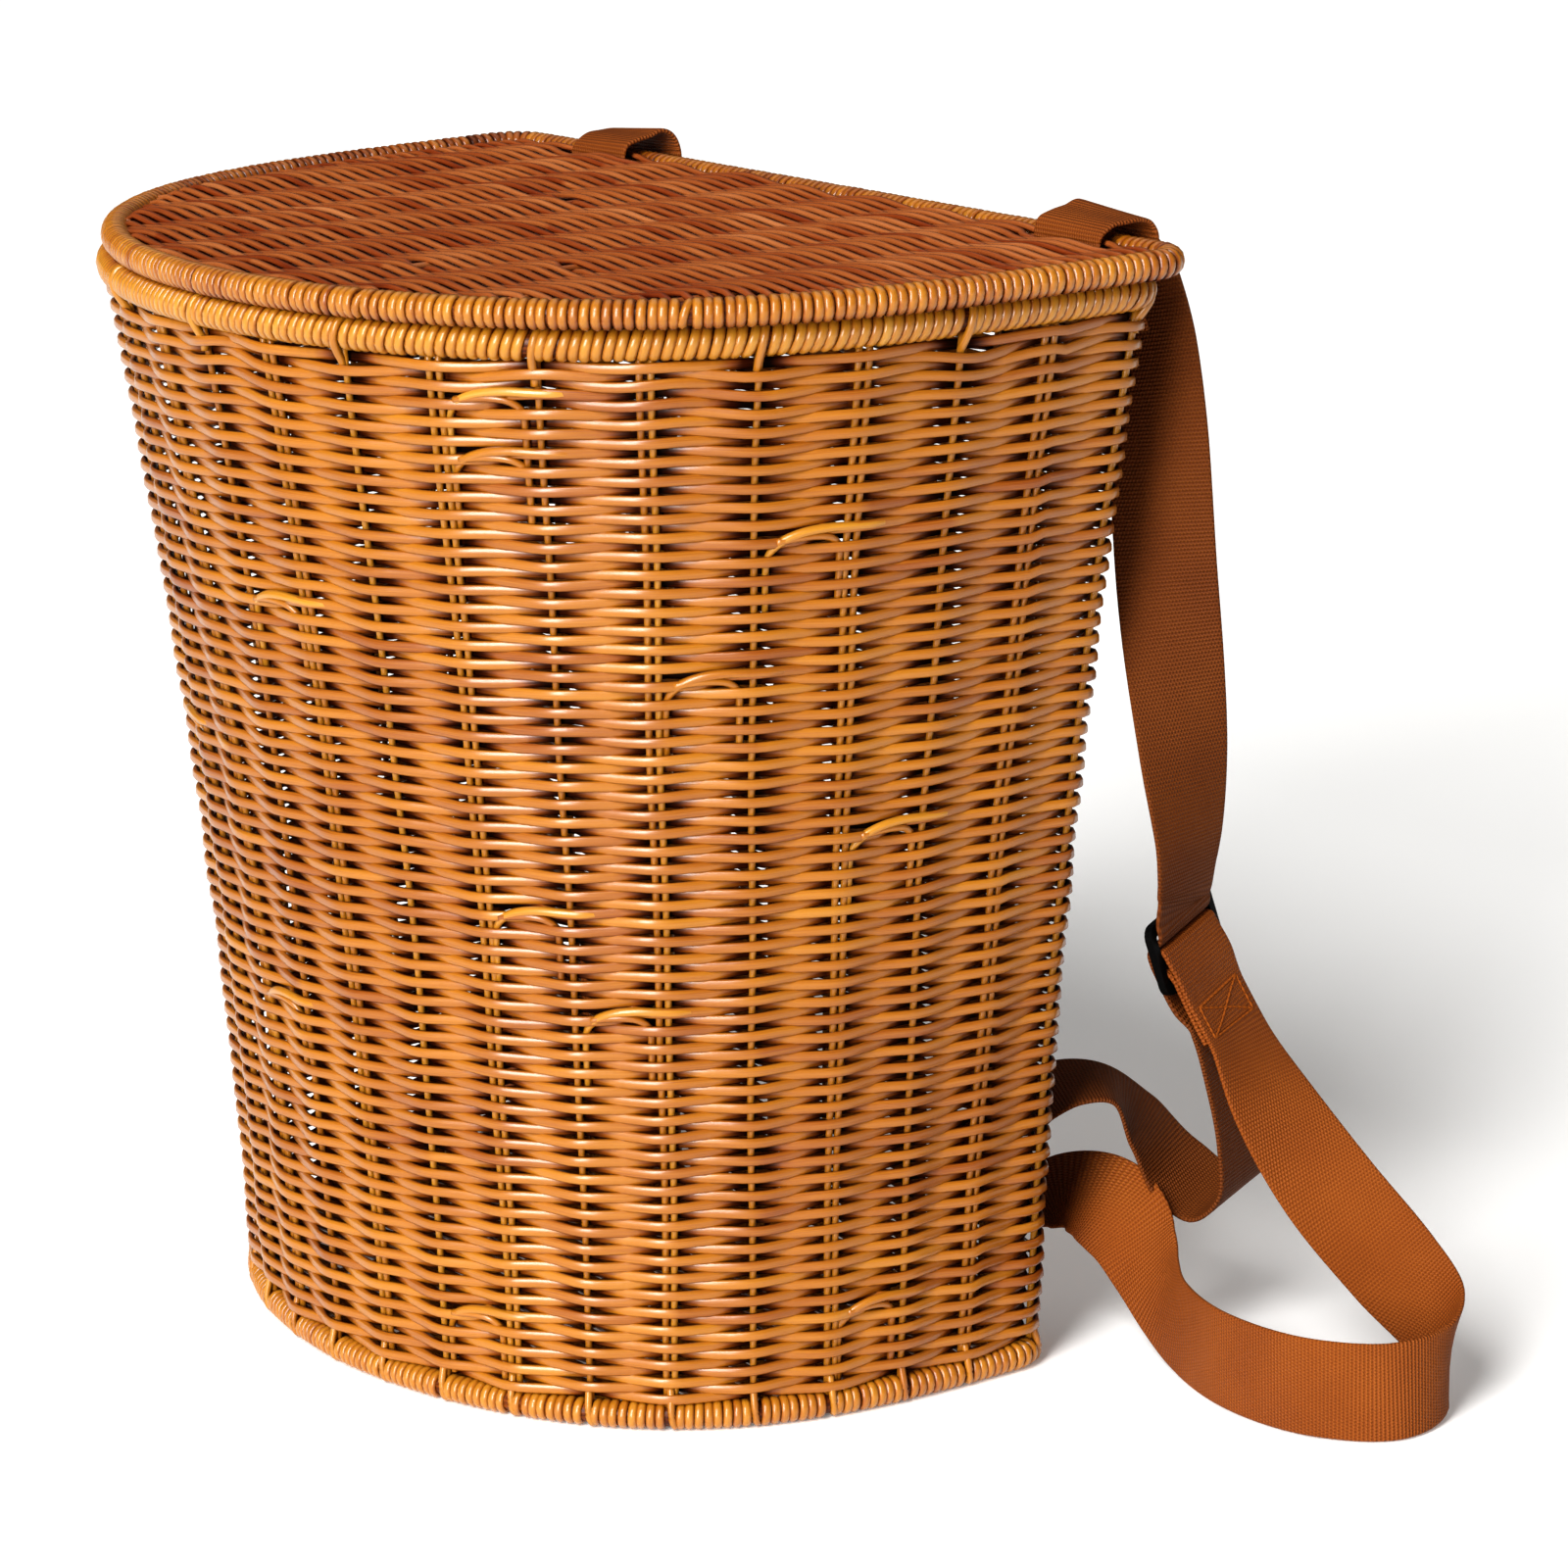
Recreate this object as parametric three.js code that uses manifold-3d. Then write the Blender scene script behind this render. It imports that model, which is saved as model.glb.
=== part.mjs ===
// Backpack basket: a half-round woven basket with a hinged lid and two webbing straps.
// Millimetres, +Z up. The origin is the centre of the base's flat underside.
// The flat back lies towards +Y, the rounded front towards -Y, and X runs along the back.
import * as THREE from 'three';
import { mergeVertices } from 'three/addons/utils/BufferGeometryUtils.js';
import Module from 'manifold-3d';

const wasm = await Module();
wasm.setup();

// Basket sizes. An outline is the middle line of a wrapped rim, seen from above.
const clearance = 0.3;
const rimHeight = 350;
const backLean = 24;
const foot = { halfWidth: 147.5, depth: 174.5, shift: 0, back: 87.25 };
const mouth = { halfWidth: 180, depth: 230, shift: 0, back: foot.back + backLean };
const lidEdge = { halfWidth: 184, depth: 235, shift: 7.5, back: mouth.back + 2.9 };
const cornerRadius = 12;
const acrossPower = 1.91;
const deepPower = 3.24;
const outlineSteps = 72;

// Woven sheets and wrapped rims
const wallThickness = 7;
const wallProud = 3.8;
const wallWaist = 5.1;
const wallLevels = 7;
const topRimRadius = 5.6;
const lidRimRadius = 4.8;
const footRimRadius = 5;
const rimSides = 8;
const panelThickness = 6;
const rimFlat = Math.cos(Math.PI / rimSides);
const footRimHeight = footRimRadius * rimFlat;
const lidHeight = rimHeight + (topRimRadius + lidRimRadius) * rimFlat + clearance;

// Webbing straps, and the slots and notches that they pass through
const webbingWidth = 32;
const webbingThickness = 1.6;
const slotLength = webbingWidth + 2.4;
const slotHeight = 4.4;
const notchDepth = 6.6;
const lidNotchDepth = 8;
const loopRadius = 10.5;
const rightLoopX = 148.5;
const leftLoopX = -110;
const anchor = { x: 122, lowZ: 42, highZ: 74 };
const stepsPerRow = 4;

// Tri-glide slider: three bars in a rounded frame
const slider = { width: 40, height: 24, thickness: 2.6, bar: 3.6, side: 3, corner: 4, slotCorner: 1 };
const sliderPlace = { x: 165.5, y: 133, z: 137 };
const sliderAcross = new THREE.Vector3(-0.37, 0.91, 0.17).normalize();
const sliderDown = new THREE.Vector3(0.14, 0.2, -0.97);

const wicker = { color: 0xb5702d, roughness: 0.42, metalness: 0 };
const lidWicker = { color: 0xa85a2b, roughness: 0.42, metalness: 0 };
const webbing = { color: 0x8a4a20, roughness: 0.75, metalness: 0 };
const blackPlastic = { color: 0x141414, roughness: 0.4, metalness: 0 };

// One point of a half-round outline: p runs 0 to 1 from the right side round the front, left side and back.
function outlinePoint(size, p) {
  const frontShare = 0.5;
  const cornerShare = 0.08;
  const cornerY = size.back - cornerRadius;
  const cornerX = size.halfWidth - cornerRadius;
  if (p < frontShare) {
    const turn = Math.PI * p / frontShare;
    const across = Math.cos(turn);
    const x = size.halfWidth * Math.sign(across) * Math.abs(across) ** (2 / acrossPower);
    const y = cornerY - (size.depth - cornerRadius) * Math.sin(turn) ** (2 / deepPower);
    return new THREE.Vector2(size.shift + x, y);
  }
  const along = (p - frontShare) / (1 - frontShare);
  const side = along < 0.5 ? -1 : 1;
  const fromSide = Math.min(along, 1 - along);
  if (fromSide < cornerShare) {
    const turn = Math.PI / 2 * fromSide / cornerShare;
    const x = side * (cornerX + cornerRadius * Math.cos(turn));
    return new THREE.Vector2(size.shift + x, cornerY + cornerRadius * Math.sin(turn));
  }
  const x = cornerX * (along - 0.5) / (0.5 - cornerShare);
  return new THREE.Vector2(size.shift + x, size.back);
}

// Outline places that lie evenly along an outline's length.
function evenPlaces(size, count) {
  const fine = 2400;
  const lengths = [0];
  for (let i = 1; i <= fine; i += 1) {
    const step = outlinePoint(size, (i % fine) / fine).distanceTo(outlinePoint(size, (i - 1) / fine));
    lengths.push(lengths[i - 1] + step);
  }
  const places = [];
  let i = 0;
  for (let k = 0; k < count; k += 1) {
    const wanted = lengths[fine] * k / count;
    while (lengths[i + 1] < wanted) i += 1;
    places.push((i + (wanted - lengths[i]) / (lengths[i + 1] - lengths[i])) / fine);
  }
  return places;
}

// The outward direction of an outline at a place, seen from above.
function outward(size, p) {
  const nudge = 1e-4;
  const ahead = outlinePoint(size, (p + nudge) % 1);
  const behind = outlinePoint(size, (p - nudge + 1) % 1);
  const along = ahead.sub(behind).normalize();
  return new THREE.Vector2(-along.y, along.x);
}

// A closed solid through equal rings of points, either round in a loop or from end to end.
function loft(rings, loop) {
  const size = rings[0].length;
  const triangles = [];
  const spans = loop ? rings.length : rings.length - 1;
  for (let r = 0; r < spans; r += 1) {
    const next = (r + 1) % rings.length;
    for (let k = 0; k < size; k += 1) {
      const a = r * size + k;
      const b = r * size + (k + 1) % size;
      const c = next * size + k;
      const d = next * size + (k + 1) % size;
      triangles.push(a, b, d, a, d, c);
    }
  }
  if (!loop) {
    const last = (rings.length - 1) * size;
    for (let k = 1; k < size - 1; k += 1) {
      triangles.push(0, k + 1, k, last, last + k, last + k + 1);
    }
  }
  const geometry = new THREE.BufferGeometry();
  geometry.setFromPoints(rings.flat());
  geometry.setIndex(facingOut(rings.flat(), triangles));
  return geometry;
}

// The triangles, turned over where they enclose a negative volume.
function facingOut(points, triangles) {
  let volume = 0;
  for (let i = 0; i < triangles.length; i += 3) {
    const [a, b, c] = [0, 1, 2].map((k) => points[triangles[i + k]]);
    volume += a.dot(new THREE.Vector3().crossVectors(b, c));
  }
  return volume > 0 ? triangles : triangles.reverse();
}

function toManifold(geometry) {
  const bare = geometry.clone();
  bare.deleteAttribute('normal');
  bare.deleteAttribute('uv');
  const merged = mergeVertices(bare, 1e-4);
  return new wasm.Manifold(new wasm.Mesh({
    numProp: 3,
    vertProperties: new Float32Array(merged.attributes.position.array),
    triVerts: new Uint32Array(merged.index.array),
  }));
}

function cut(geometry, cutters) {
  let solid = toManifold(geometry);
  for (const cutter of cutters) {
    solid = solid.subtract(toManifold(cutter));
  }
  const mesh = solid.getMesh();
  const result = new THREE.BufferGeometry();
  result.setAttribute('position', new THREE.BufferAttribute(mesh.vertProperties, 3));
  result.setIndex(new THREE.BufferAttribute(mesh.triVerts, 1));
  return result;
}

function boxBetween(low, high) {
  const geometry = new THREE.BoxGeometry(high.x - low.x, high.y - low.y, high.z - low.z);
  return geometry.translate((low.x + high.x) / 2, (low.y + high.y) / 2, (low.z + high.z) / 2);
}

// Wrapped rims: a round section carried round an outline.
function wrappedRim(size, height, radius) {
  const rings = evenPlaces(size, outlineSteps).map((p) => {
    const middle = outlinePoint(size, p);
    const out = outward(size, p);
    const ring = [];
    for (let k = 0; k < rimSides; k += 1) {
      const turn = 2 * Math.PI * (k + 0.5) / rimSides;
      const reach = radius * Math.cos(turn);
      ring.push(new THREE.Vector3(middle.x + out.x * reach, middle.y + out.y * reach,
        height + radius * Math.sin(turn)));
    }
    return ring;
  });
  return loft(rings, true);
}

// The woven wall: its faces follow the rims and draw in a little at half height.
function wovenWall() {
  const top = rimHeight - topRimRadius * rimFlat - clearance;
  const bottom = footRimHeight + footRimRadius * rimFlat + clearance;
  const face = (p, level, thickness) => {
    const z = top + (bottom - top) * level / (wallLevels - 1);
    const down = (rimHeight - z) / (rimHeight - footRimHeight);
    const out = outward(mouth, p);
    const reach = wallProud - wallWaist * 4 * down * (1 - down) - thickness;
    const middle = outlinePoint(mouth, p).lerp(outlinePoint(foot, p), down);
    return new THREE.Vector3(middle.x + out.x * reach, middle.y + out.y * reach, z);
  };
  const rings = evenPlaces(mouth, outlineSteps).map((p) => {
    const levels = [...Array(wallLevels).keys()];
    const outside = levels.map((level) => face(p, level, 0));
    const inside = levels.reverse().map((level) => face(p, level, wallThickness));
    return [...outside, ...inside];
  });
  const slots = [];
  for (const loopX of [rightLoopX, leftLoopX]) {
    slots.push(boxBetween(
      { x: loopX - slotLength / 2, y: mouth.back - 2 * wallThickness, z: top - notchDepth },
      { x: loopX + slotLength / 2, y: mouth.back + 2 * wallThickness, z: top + notchDepth },
    ));
  }
  for (const x of [anchor.x, leftFromRight(anchor.x)]) {
    for (const z of [anchor.lowZ, anchor.highZ]) {
      slots.push(boxBetween(
        { x: x - slotLength / 2, y: foot.back - 2 * wallThickness, z: z - slotHeight / 2 },
        { x: x + slotLength / 2, y: mouth.back, z: z + slotHeight / 2 },
      ));
    }
  }
  return cut(loft(rings, true), slots);
}

// The left strap mirrors the right one and hangs from its own loop.
function leftFromRight(x) {
  return leftLoopX + rightLoopX - x;
}

// A flat woven panel inside a rim, with notches in its back edge.
function panel(size, rimRadius, notches) {
  const inset = rimRadius + clearance;
  const outline = evenPlaces(size, outlineSteps).map((p) => {
    const out = outward(size, p);
    return outlinePoint(size, p).sub(out.multiplyScalar(inset));
  });
  const flat = { depth: panelThickness, bevelEnabled: false };
  const sheet = new THREE.ExtrudeGeometry(new THREE.Shape(outline), flat);
  if (notches.length === 0) return sheet;
  const cutters = notches.map((x) => boxBetween(
    { x: x - slotLength / 2, y: size.back - inset - lidNotchDepth, z: -panelThickness },
    { x: x + slotLength / 2, y: size.back, z: 2 * panelThickness },
  ));
  return cut(sheet, cutters);
}

// Webbing: a flat section carried through rows of places, each with the direction across the webbing.
function webbingStrip(rows) {
  const middle = new THREE.CatmullRomCurve3(rows.map((row) => new THREE.Vector3(row.x, row.y, row.z)));
  const across = new THREE.CatmullRomCurve3(rows.map((row) => new THREE.Vector3(...row.across)));
  const steps = (rows.length - 1) * stepsPerRow;
  const rings = [];
  for (let i = 0; i <= steps; i += 1) {
    const t = i / steps;
    const along = middle.getTangent(t);
    const side = across.getPoint(t);
    side.addScaledVector(along, -side.dot(along)).setLength(webbingWidth / 2);
    const face = new THREE.Vector3().crossVectors(along, side).setLength(webbingThickness / 2);
    const centre = middle.getPoint(t);
    rings.push([[1, 1], [1, -1], [-1, -1], [-1, 1]].map(([s, f]) => (
      centre.clone().addScaledVector(side, s).addScaledVector(face, f)
    )));
  }
  return loft(rings, false);
}

// Rows of the loop round both back rims: y and z from the hinge line, up from the sewn tail.
const hinge = { y: lidEdge.back, z: lidHeight };
const tailRows = [
  { y: 8.3, z: -50 },
  { y: 8.3, z: -29 },
  { y: 5.5, z: -21.6 },
  { y: -4, z: -20.2 },
  { y: -10.4, z: -17.5 },
  { y: -11.2, z: -9 },
];
const loopTurns = [180, 150, 120, 90, 60, 30, 0];

function loopRows() {
  const arc = loopTurns.map((turn) => {
    const angle = THREE.MathUtils.degToRad(turn);
    return { y: loopRadius * Math.cos(angle), z: loopRadius * Math.sin(angle) };
  });
  return [...tailRows, ...arc].map((row) => (
    { x: rightLoopX, y: hinge.y + row.y, z: hinge.z + row.z, across: [1, 0, 0] }
  ));
}

// The hanging stretch, which turns as it comes down to the slider.
const hangingRows = [
  { x: 149.5, y: 126, z: 346, across: [0.97, 0.24, 0] },
  { x: 152.5, y: 128, z: 330, across: [0.88, 0.47, 0] },
  { x: 158, y: 129, z: 303, across: [0.77, 0.64, 0] },
  { x: 162, y: 130, z: 252, across: [0.62, 0.79, 0] },
  { x: 167, y: 131, z: 199, across: [0.17, 0.98, 0] },
  { x: 168, y: 131.5, z: 172, across: [-0.12, 0.99, 0.05] },
];

// A place by the slider: down along the slider from its middle bar, and out from its face.
function bySlider(down, out) {
  const along = sliderFrame().down;
  const face = sliderFrame().face;
  const place = new THREE.Vector3(sliderPlace.x, sliderPlace.y, sliderPlace.z);
  place.addScaledVector(along, down).addScaledVector(face, out);
  return { x: place.x, y: place.y, z: place.z, across: sliderAcross.toArray() };
}

function sliderFrame() {
  const down = sliderDown.clone();
  down.addScaledVector(sliderAcross, -down.dot(sliderAcross)).normalize();
  const face = new THREE.Vector3().crossVectors(down, sliderAcross);
  return { down, face };
}

// The running webbing passes over the slider's top bar and behind its other two.
const overSlider = [
  { down: -15, out: 2.8 },
  { down: -10.5, out: 3 },
  { down: -7.6, out: 2.2 },
  { down: -5.6, out: -1 },
  { down: -3.4, out: -4.2 },
  { down: 0, out: -5.2 },
];
const behindSlider = [
  { down: clearance, out: -5.2 },
  { down: 8, out: -5.2 },
  { down: 15, out: -5.2 },
];

// From the slider down, back to the wall, in and out of its two slots, round on the floor and up again.
const returnRows = [
  { x: 170.5, y: 141, z: 112, across: [-0.33, 0.93, 0.1] },
  { x: 173, y: 146, z: 92, across: [-0.33, 0.93, 0.1] },
  { x: 174, y: 148, z: 72, across: [-0.34, 0.93, 0.05] },
  { x: 170, y: 147.5, z: 56, across: [-0.35, 0.93, 0.08] },
  { x: 160, y: 146, z: 48, across: [-0.35, 0.92, 0.15] },
  { x: 149, y: 142, z: 54, across: [-0.55, 0.82, 0.15] },
  { x: 141.5, y: 135, z: 68.5, across: [-0.7, 0.7, 0.05] },
  { x: 135.5, y: 126, z: 81, across: [-0.85, 0.5, 0.05] },
  { x: 129.5, y: 114, z: 84.5, across: [-0.92, 0.35, 0.15] },
  { x: 124.5, y: 103, z: 80, across: [-0.97, 0.2, 0.1] },
];
const anchorRows = [
  { y: 93.5, z: anchor.highZ },
  { y: 85.6, z: anchor.highZ },
  { y: 82.2, z: anchor.highZ - 4 },
  { y: 81.5, z: (anchor.highZ + anchor.lowZ) / 2 },
  { y: 81.5, z: anchor.lowZ + 4 },
  { y: 85, z: anchor.lowZ },
  { y: 92, z: anchor.lowZ },
].map((row) => ({ x: anchor.x, across: [-1, 0, 0], ...row }));
const floorRows = [
  { x: 123, y: 102, z: 44, across: [-0.95, 0.2, 0.2] },
  { x: 128.5, y: 112, z: 47.5, across: [-0.7, 0.45, 0.5] },
  { x: 138, y: 118.5, z: 46.5, across: [-0.25, 0.65, 0.7] },
  { x: 149, y: 121, z: 40, across: [0.3, 0.5, 0.8] },
  { x: 158.5, y: 120.5, z: 31, across: [0.5, 0.28, 0.82] },
  { x: 170, y: 117.5, z: 22.5, across: [0.4, 0.1, 0.91] },
  { x: 186, y: 112.3, z: 17.2, across: [0.12, 0.02, 0.99] },
  { x: 219.4, y: 104.6, z: 16.4, across: [0, 0, 1] },
  { x: 253.4, y: 110, z: 16.4, across: [0, 0, 1] },
  { x: 271, y: 128, z: 16.4, across: [0, 0, 1] },
  { x: 268.5, y: 149, z: 18.2, across: [0.12, -0.08, 0.98] },
  { x: 254.5, y: 159, z: 27, across: [0.45, 0.2, 0.87] },
  { x: 236, y: 158, z: 41, across: [0.42, 0.58, 0.7] },
  { x: 213, y: 152.5, z: 61, across: [0.2, 0.8, 0.57] },
  { x: 195, y: 146, z: 83, across: [-0.08, 0.92, 0.38] },
  { x: 184, y: 139, z: 108, across: [-0.25, 0.94, 0.22] },
];

// The end is folded round the slider's middle bar and lies under itself, where it is sewn.
const sewnRows = [
  { down: 18, out: 5.6 },
  { down: 9, out: 5.3 },
  { down: 0, out: 3.3 },
  { down: -2.4, out: 2.3 },
  { down: -3.3, out: 0 },
  { down: -2.4, out: -2.3 },
  { down: 0, out: -3.1 },
  { down: 2.8, out: -2.7 },
  { down: 5.3, out: 0 },
  { down: 8, out: 2.8 },
  { down: 13, out: 3.2 },
  { down: 22, out: 3.6 },
  { down: 34, out: 5.4 },
];

function upperStrap() {
  return webbingStrip([
    ...loopRows(),
    ...hangingRows,
    ...overSlider.map((row) => bySlider(row.down, row.out)),
  ]);
}

function lowerStrap() {
  return webbingStrip([
    ...behindSlider.map((row) => bySlider(row.down, row.out)),
    ...returnRows,
    ...anchorRows,
    ...floorRows,
    ...sewnRows.map((row) => bySlider(row.down, row.out)),
  ]);
}

function roundedRectangle(width, height, radius) {
  const cornerSteps = 4;
  const points = [];
  for (const [index, sides] of [[1, 1], [-1, 1], [-1, -1], [1, -1]].entries()) {
    for (let i = 0; i <= cornerSteps; i += 1) {
      const turn = Math.PI / 2 * (index + i / cornerSteps);
      const x = sides[0] * (width / 2 - radius) + radius * Math.cos(turn);
      const y = sides[1] * (height / 2 - radius) + radius * Math.sin(turn);
      points.push(new THREE.Vector2(x, y));
    }
  }
  return points;
}

function triGlide() {
  const frame = new THREE.Shape(roundedRectangle(slider.width, slider.height, slider.corner));
  const slotWidth = slider.width - 2 * slider.side;
  const slotTall = (slider.height - 3 * slider.bar) / 2;
  for (const side of [-1, 1]) {
    const middle = new THREE.Vector2(0, side * (slider.bar + slotTall) / 2);
    const slot = roundedRectangle(slotWidth, slotTall, slider.slotCorner).map((point) => point.add(middle));
    frame.holes.push(new THREE.Path(slot));
  }
  const geometry = new THREE.ExtrudeGeometry(frame, { depth: slider.thickness, bevelEnabled: false });
  geometry.translate(0, 0, -slider.thickness / 2);
  const { down, face } = sliderFrame();
  const turn = new THREE.Matrix4().makeBasis(sliderAcross, down.negate(), face);
  turn.setPosition(sliderPlace.x, sliderPlace.y, sliderPlace.z);
  return geometry.applyMatrix4(turn);
}

// The same solid on the left: mirrored across X, with its faces turned back out.
function onTheLeft(geometry) {
  const whole = geometry.index ? geometry.clone() : mergeVertices(geometry);
  whole.deleteAttribute('normal');
  whole.deleteAttribute('uv');
  whole.scale(-1, 1, 1);
  whole.translate(leftFromRight(0), 0, 0);
  whole.setIndex([...whole.index.array].reverse());
  return whole;
}

const basket = new THREE.Group();
basket.name = 'backpack_basket';

function add(name, geometry, finish) {
  const mesh = new THREE.Mesh(geometry, new THREE.MeshStandardMaterial(finish));
  mesh.name = name;
  basket.add(mesh);
  return mesh;
}

add('woven_wall', wovenWall(), wicker);
add('base_panel', panel(foot, footRimRadius, []), wicker);
add('foot_rim', wrappedRim(foot, footRimHeight, footRimRadius), wicker);
add('top_rim', wrappedRim(mouth, rimHeight, topRimRadius), wicker);
const lidPanel = add('lid_panel', panel(lidEdge, lidRimRadius, [rightLoopX, leftLoopX]), lidWicker);
lidPanel.position.z = lidHeight - panelThickness / 2;
add('lid_rim', wrappedRim(lidEdge, lidHeight, lidRimRadius), wicker);
for (const [name, shape, finish] of [
  ['upper_strap', upperStrap(), webbing],
  ['lower_strap', lowerStrap(), webbing],
  ['slider', triGlide(), blackPlastic],
]) {
  add(`right_${name}`, shape, finish);
  add(`left_${name}`, onTheLeft(shape), finish);
}

export default basket;
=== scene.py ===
import math
import bmesh
import bpy
import numpy as np
from mathutils import Matrix, Vector


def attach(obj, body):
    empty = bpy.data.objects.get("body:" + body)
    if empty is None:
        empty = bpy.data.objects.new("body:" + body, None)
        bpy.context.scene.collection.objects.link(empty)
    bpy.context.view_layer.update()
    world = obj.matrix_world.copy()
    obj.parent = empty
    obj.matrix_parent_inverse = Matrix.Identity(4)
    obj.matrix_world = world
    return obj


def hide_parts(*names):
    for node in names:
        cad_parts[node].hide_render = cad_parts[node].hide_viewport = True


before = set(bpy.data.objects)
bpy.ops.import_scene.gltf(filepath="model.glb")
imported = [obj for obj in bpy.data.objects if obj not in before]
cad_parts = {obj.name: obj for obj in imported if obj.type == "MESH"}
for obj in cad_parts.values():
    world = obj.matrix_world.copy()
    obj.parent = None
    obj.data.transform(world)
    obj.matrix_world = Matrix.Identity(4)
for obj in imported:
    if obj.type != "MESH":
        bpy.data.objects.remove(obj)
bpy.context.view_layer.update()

mm = 0.001
dice = np.random.default_rng(17)  # every irregularity comes from this one seeded source
scene = bpy.context.scene


def addObject(name, data):
    thing = bpy.data.objects.new(name, data)
    scene.collection.objects.link(thing)
    return thing


# camera, fitted to the basket's outlines in a 1600 x 1600 picture
photoCamera = {
    "place": (1.4776, -0.9517, 0.6312),
    "forward": (-0.7898, 0.5598, -0.2507),
    "up": (-0.1887, 0.1671, 0.9677),
    "lens": 127.5,
    "sensor": 36.0,
    "farthest": 30.0,
}


def makeCamera():
    data = bpy.data.cameras.new("photoCamera")
    data.lens = photoCamera["lens"]
    data.sensor_width = photoCamera["sensor"]
    data.clip_end = photoCamera["farthest"]
    camera = addObject("photoCamera", data)
    forward = Vector(photoCamera["forward"]).normalized()
    right = forward.cross(Vector(photoCamera["up"])).normalized()
    up = right.cross(forward)
    turn = Matrix((right, up, -forward)).transposed().to_4x4()
    camera.matrix_world = Matrix.Translation(Vector(photoCamera["place"])) @ turn
    scene.camera = camera


makeCamera()
print("camera ready")


# colours and shader nodes
def hexLinear(code):
    parts = [int(code[i:i + 2], 16) / 255 for i in (0, 2, 4)]
    return [c / 12.92 if c <= 0.04045 else ((c + 0.055) / 1.055) ** 2.4 for c in parts] + [1.0]


# a setting with a capital or a number is an input's value; stops fill a colour ramp
def addNode(tree, kind, settings=None, links=None):
    node = tree.nodes.new(kind)
    for key, value in (settings or {}).items():
        if key == "stops":
            while len(node.color_ramp.elements) < len(value):
                node.color_ramp.elements.new(0.5)
            for element, (place, code) in zip(node.color_ramp.elements, value):
                element.position = place
                element.color = hexLinear(code)
        elif isinstance(key, int) or key[0].isupper():
            node.inputs[key].default_value = value
        else:
            setattr(node, key, value)
    for socket, source in (links or {}).items():
        tree.links.new(source, node.inputs[socket])
    return node


def newMaterial(name):
    material = bpy.data.materials.new(name)
    material.use_nodes = True
    material.node_tree.nodes.clear()
    return material, material.node_tree


def objectNoise(tree, scale, detail=2.0):
    place = addNode(tree, "ShaderNodeTexCoord")
    noise = addNode(tree, "ShaderNodeTexNoise", {"Scale": scale, "Detail": detail},
                    {"Vector": place.outputs["Object"]})
    return noise.outputs["Fac"]


def addSurface(tree, settings, links):
    surface = addNode(tree, "ShaderNodeBsdfPrincipled", settings, links)
    addNode(tree, "ShaderNodeOutputMaterial", None, {"Surface": surface.outputs[0]})


# varnished willow: stained rods under lacquer, so a wide soft highlight and fine streaks along each rod
willow = {
    "streakLong": 22 * mm,
    "streakWide": 0.9 * mm,
    "streakShare": 0.2,
    "rodsApart": 3.7,  # in the streak noise, so that no two rods share a streak
    "patch": 60 * mm,
    "patchShare": 0.12,
    "bumpDepth": 0.12 * mm,
    "ior": 1.5,
    "sheen": 0.3,
    "dullSheen": 0.05,
    "coatRoughness": 0.24,
    "shadedTone": 0.12,
    "unshadedTone": 0.42,
}


def willowMaterial(name, stops, roughness, coat):
    material, tree = newMaterial(name)
    tone = addNode(tree, "ShaderNodeAttribute", {"attribute_name": "tone"})
    grain = addNode(tree, "ShaderNodeAttribute", {"attribute_name": "grain"})
    spread = (1 / willow["streakLong"], 1 / willow["streakWide"], 1.0)
    along = addNode(tree, "ShaderNodeVectorMath", {"operation": "MULTIPLY", 1: spread},
                    {0: grain.outputs["Vector"]})
    streak = addNode(tree, "ShaderNodeTexNoise", {"Scale": 1.0, "Detail": 3.0, "Roughness": 0.6},
                     {"Vector": along.outputs[0]})
    shade = addNode(tree, "ShaderNodeMapRange",
                    {"From Min": 0.25, "From Max": 0.75, "To Min": -willow["streakShare"] / 2,
                     "To Max": willow["streakShare"] / 2}, {"Value": streak.outputs["Fac"]})
    patch = objectNoise(tree, 1 / willow["patch"])
    drift = addNode(tree, "ShaderNodeMapRange",
                    {"From Min": 0.3, "From Max": 0.7, "To Min": -willow["patchShare"] / 2,
                     "To Max": willow["patchShare"] / 2}, {"Value": patch})
    both = addNode(tree, "ShaderNodeMath", {"operation": "ADD"},
                   {0: tone.outputs["Fac"], 1: shade.outputs["Result"]})
    total = addNode(tree, "ShaderNodeMath", {"operation": "ADD"},
                    {0: both.outputs[0], 1: drift.outputs["Result"]})
    colour = addNode(tree, "ShaderNodeValToRGB", {"stops": stops}, {"Fac": total.outputs[0]})
    rough = addNode(tree, "ShaderNodeMapRange",
                    {"To Min": roughness - 0.08, "To Max": roughness + 0.1},
                    {"Value": streak.outputs["Fac"]})
    bump = addNode(tree, "ShaderNodeBump", {"Strength": 0.5, "Distance": willow["bumpDepth"]},
                   {"Height": streak.outputs["Fac"]})
    # painted shade: the lacquer's reflection fades where the tone is low, as it is under the painted
    # shade of the crevices
    sheen = addNode(tree, "ShaderNodeMapRange",
                    {"From Min": willow["shadedTone"], "From Max": willow["unshadedTone"],
                     "To Min": willow["dullSheen"], "To Max": willow["sheen"]},
                    {"Value": tone.outputs["Fac"]})
    lacquer = addNode(tree, "ShaderNodeMapRange",
                      {"From Min": willow["shadedTone"], "From Max": willow["unshadedTone"], "To Max": coat},
                      {"Value": tone.outputs["Fac"]})
    addSurface(tree, {"IOR": willow["ior"], "Coat Roughness": willow["coatRoughness"]},
               {"Base Color": colour.outputs["Color"], "Roughness": rough.outputs["Result"],
                "Specular IOR Level": sheen.outputs["Result"], "Coat Weight": lacquer.outputs["Result"],
                "Normal": bump.outputs["Normal"]})
    return material


# in both willows the darkest stops are reached mostly through painted shade: in the crevices, between
# rods and wraps, and on the rim cores
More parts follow.
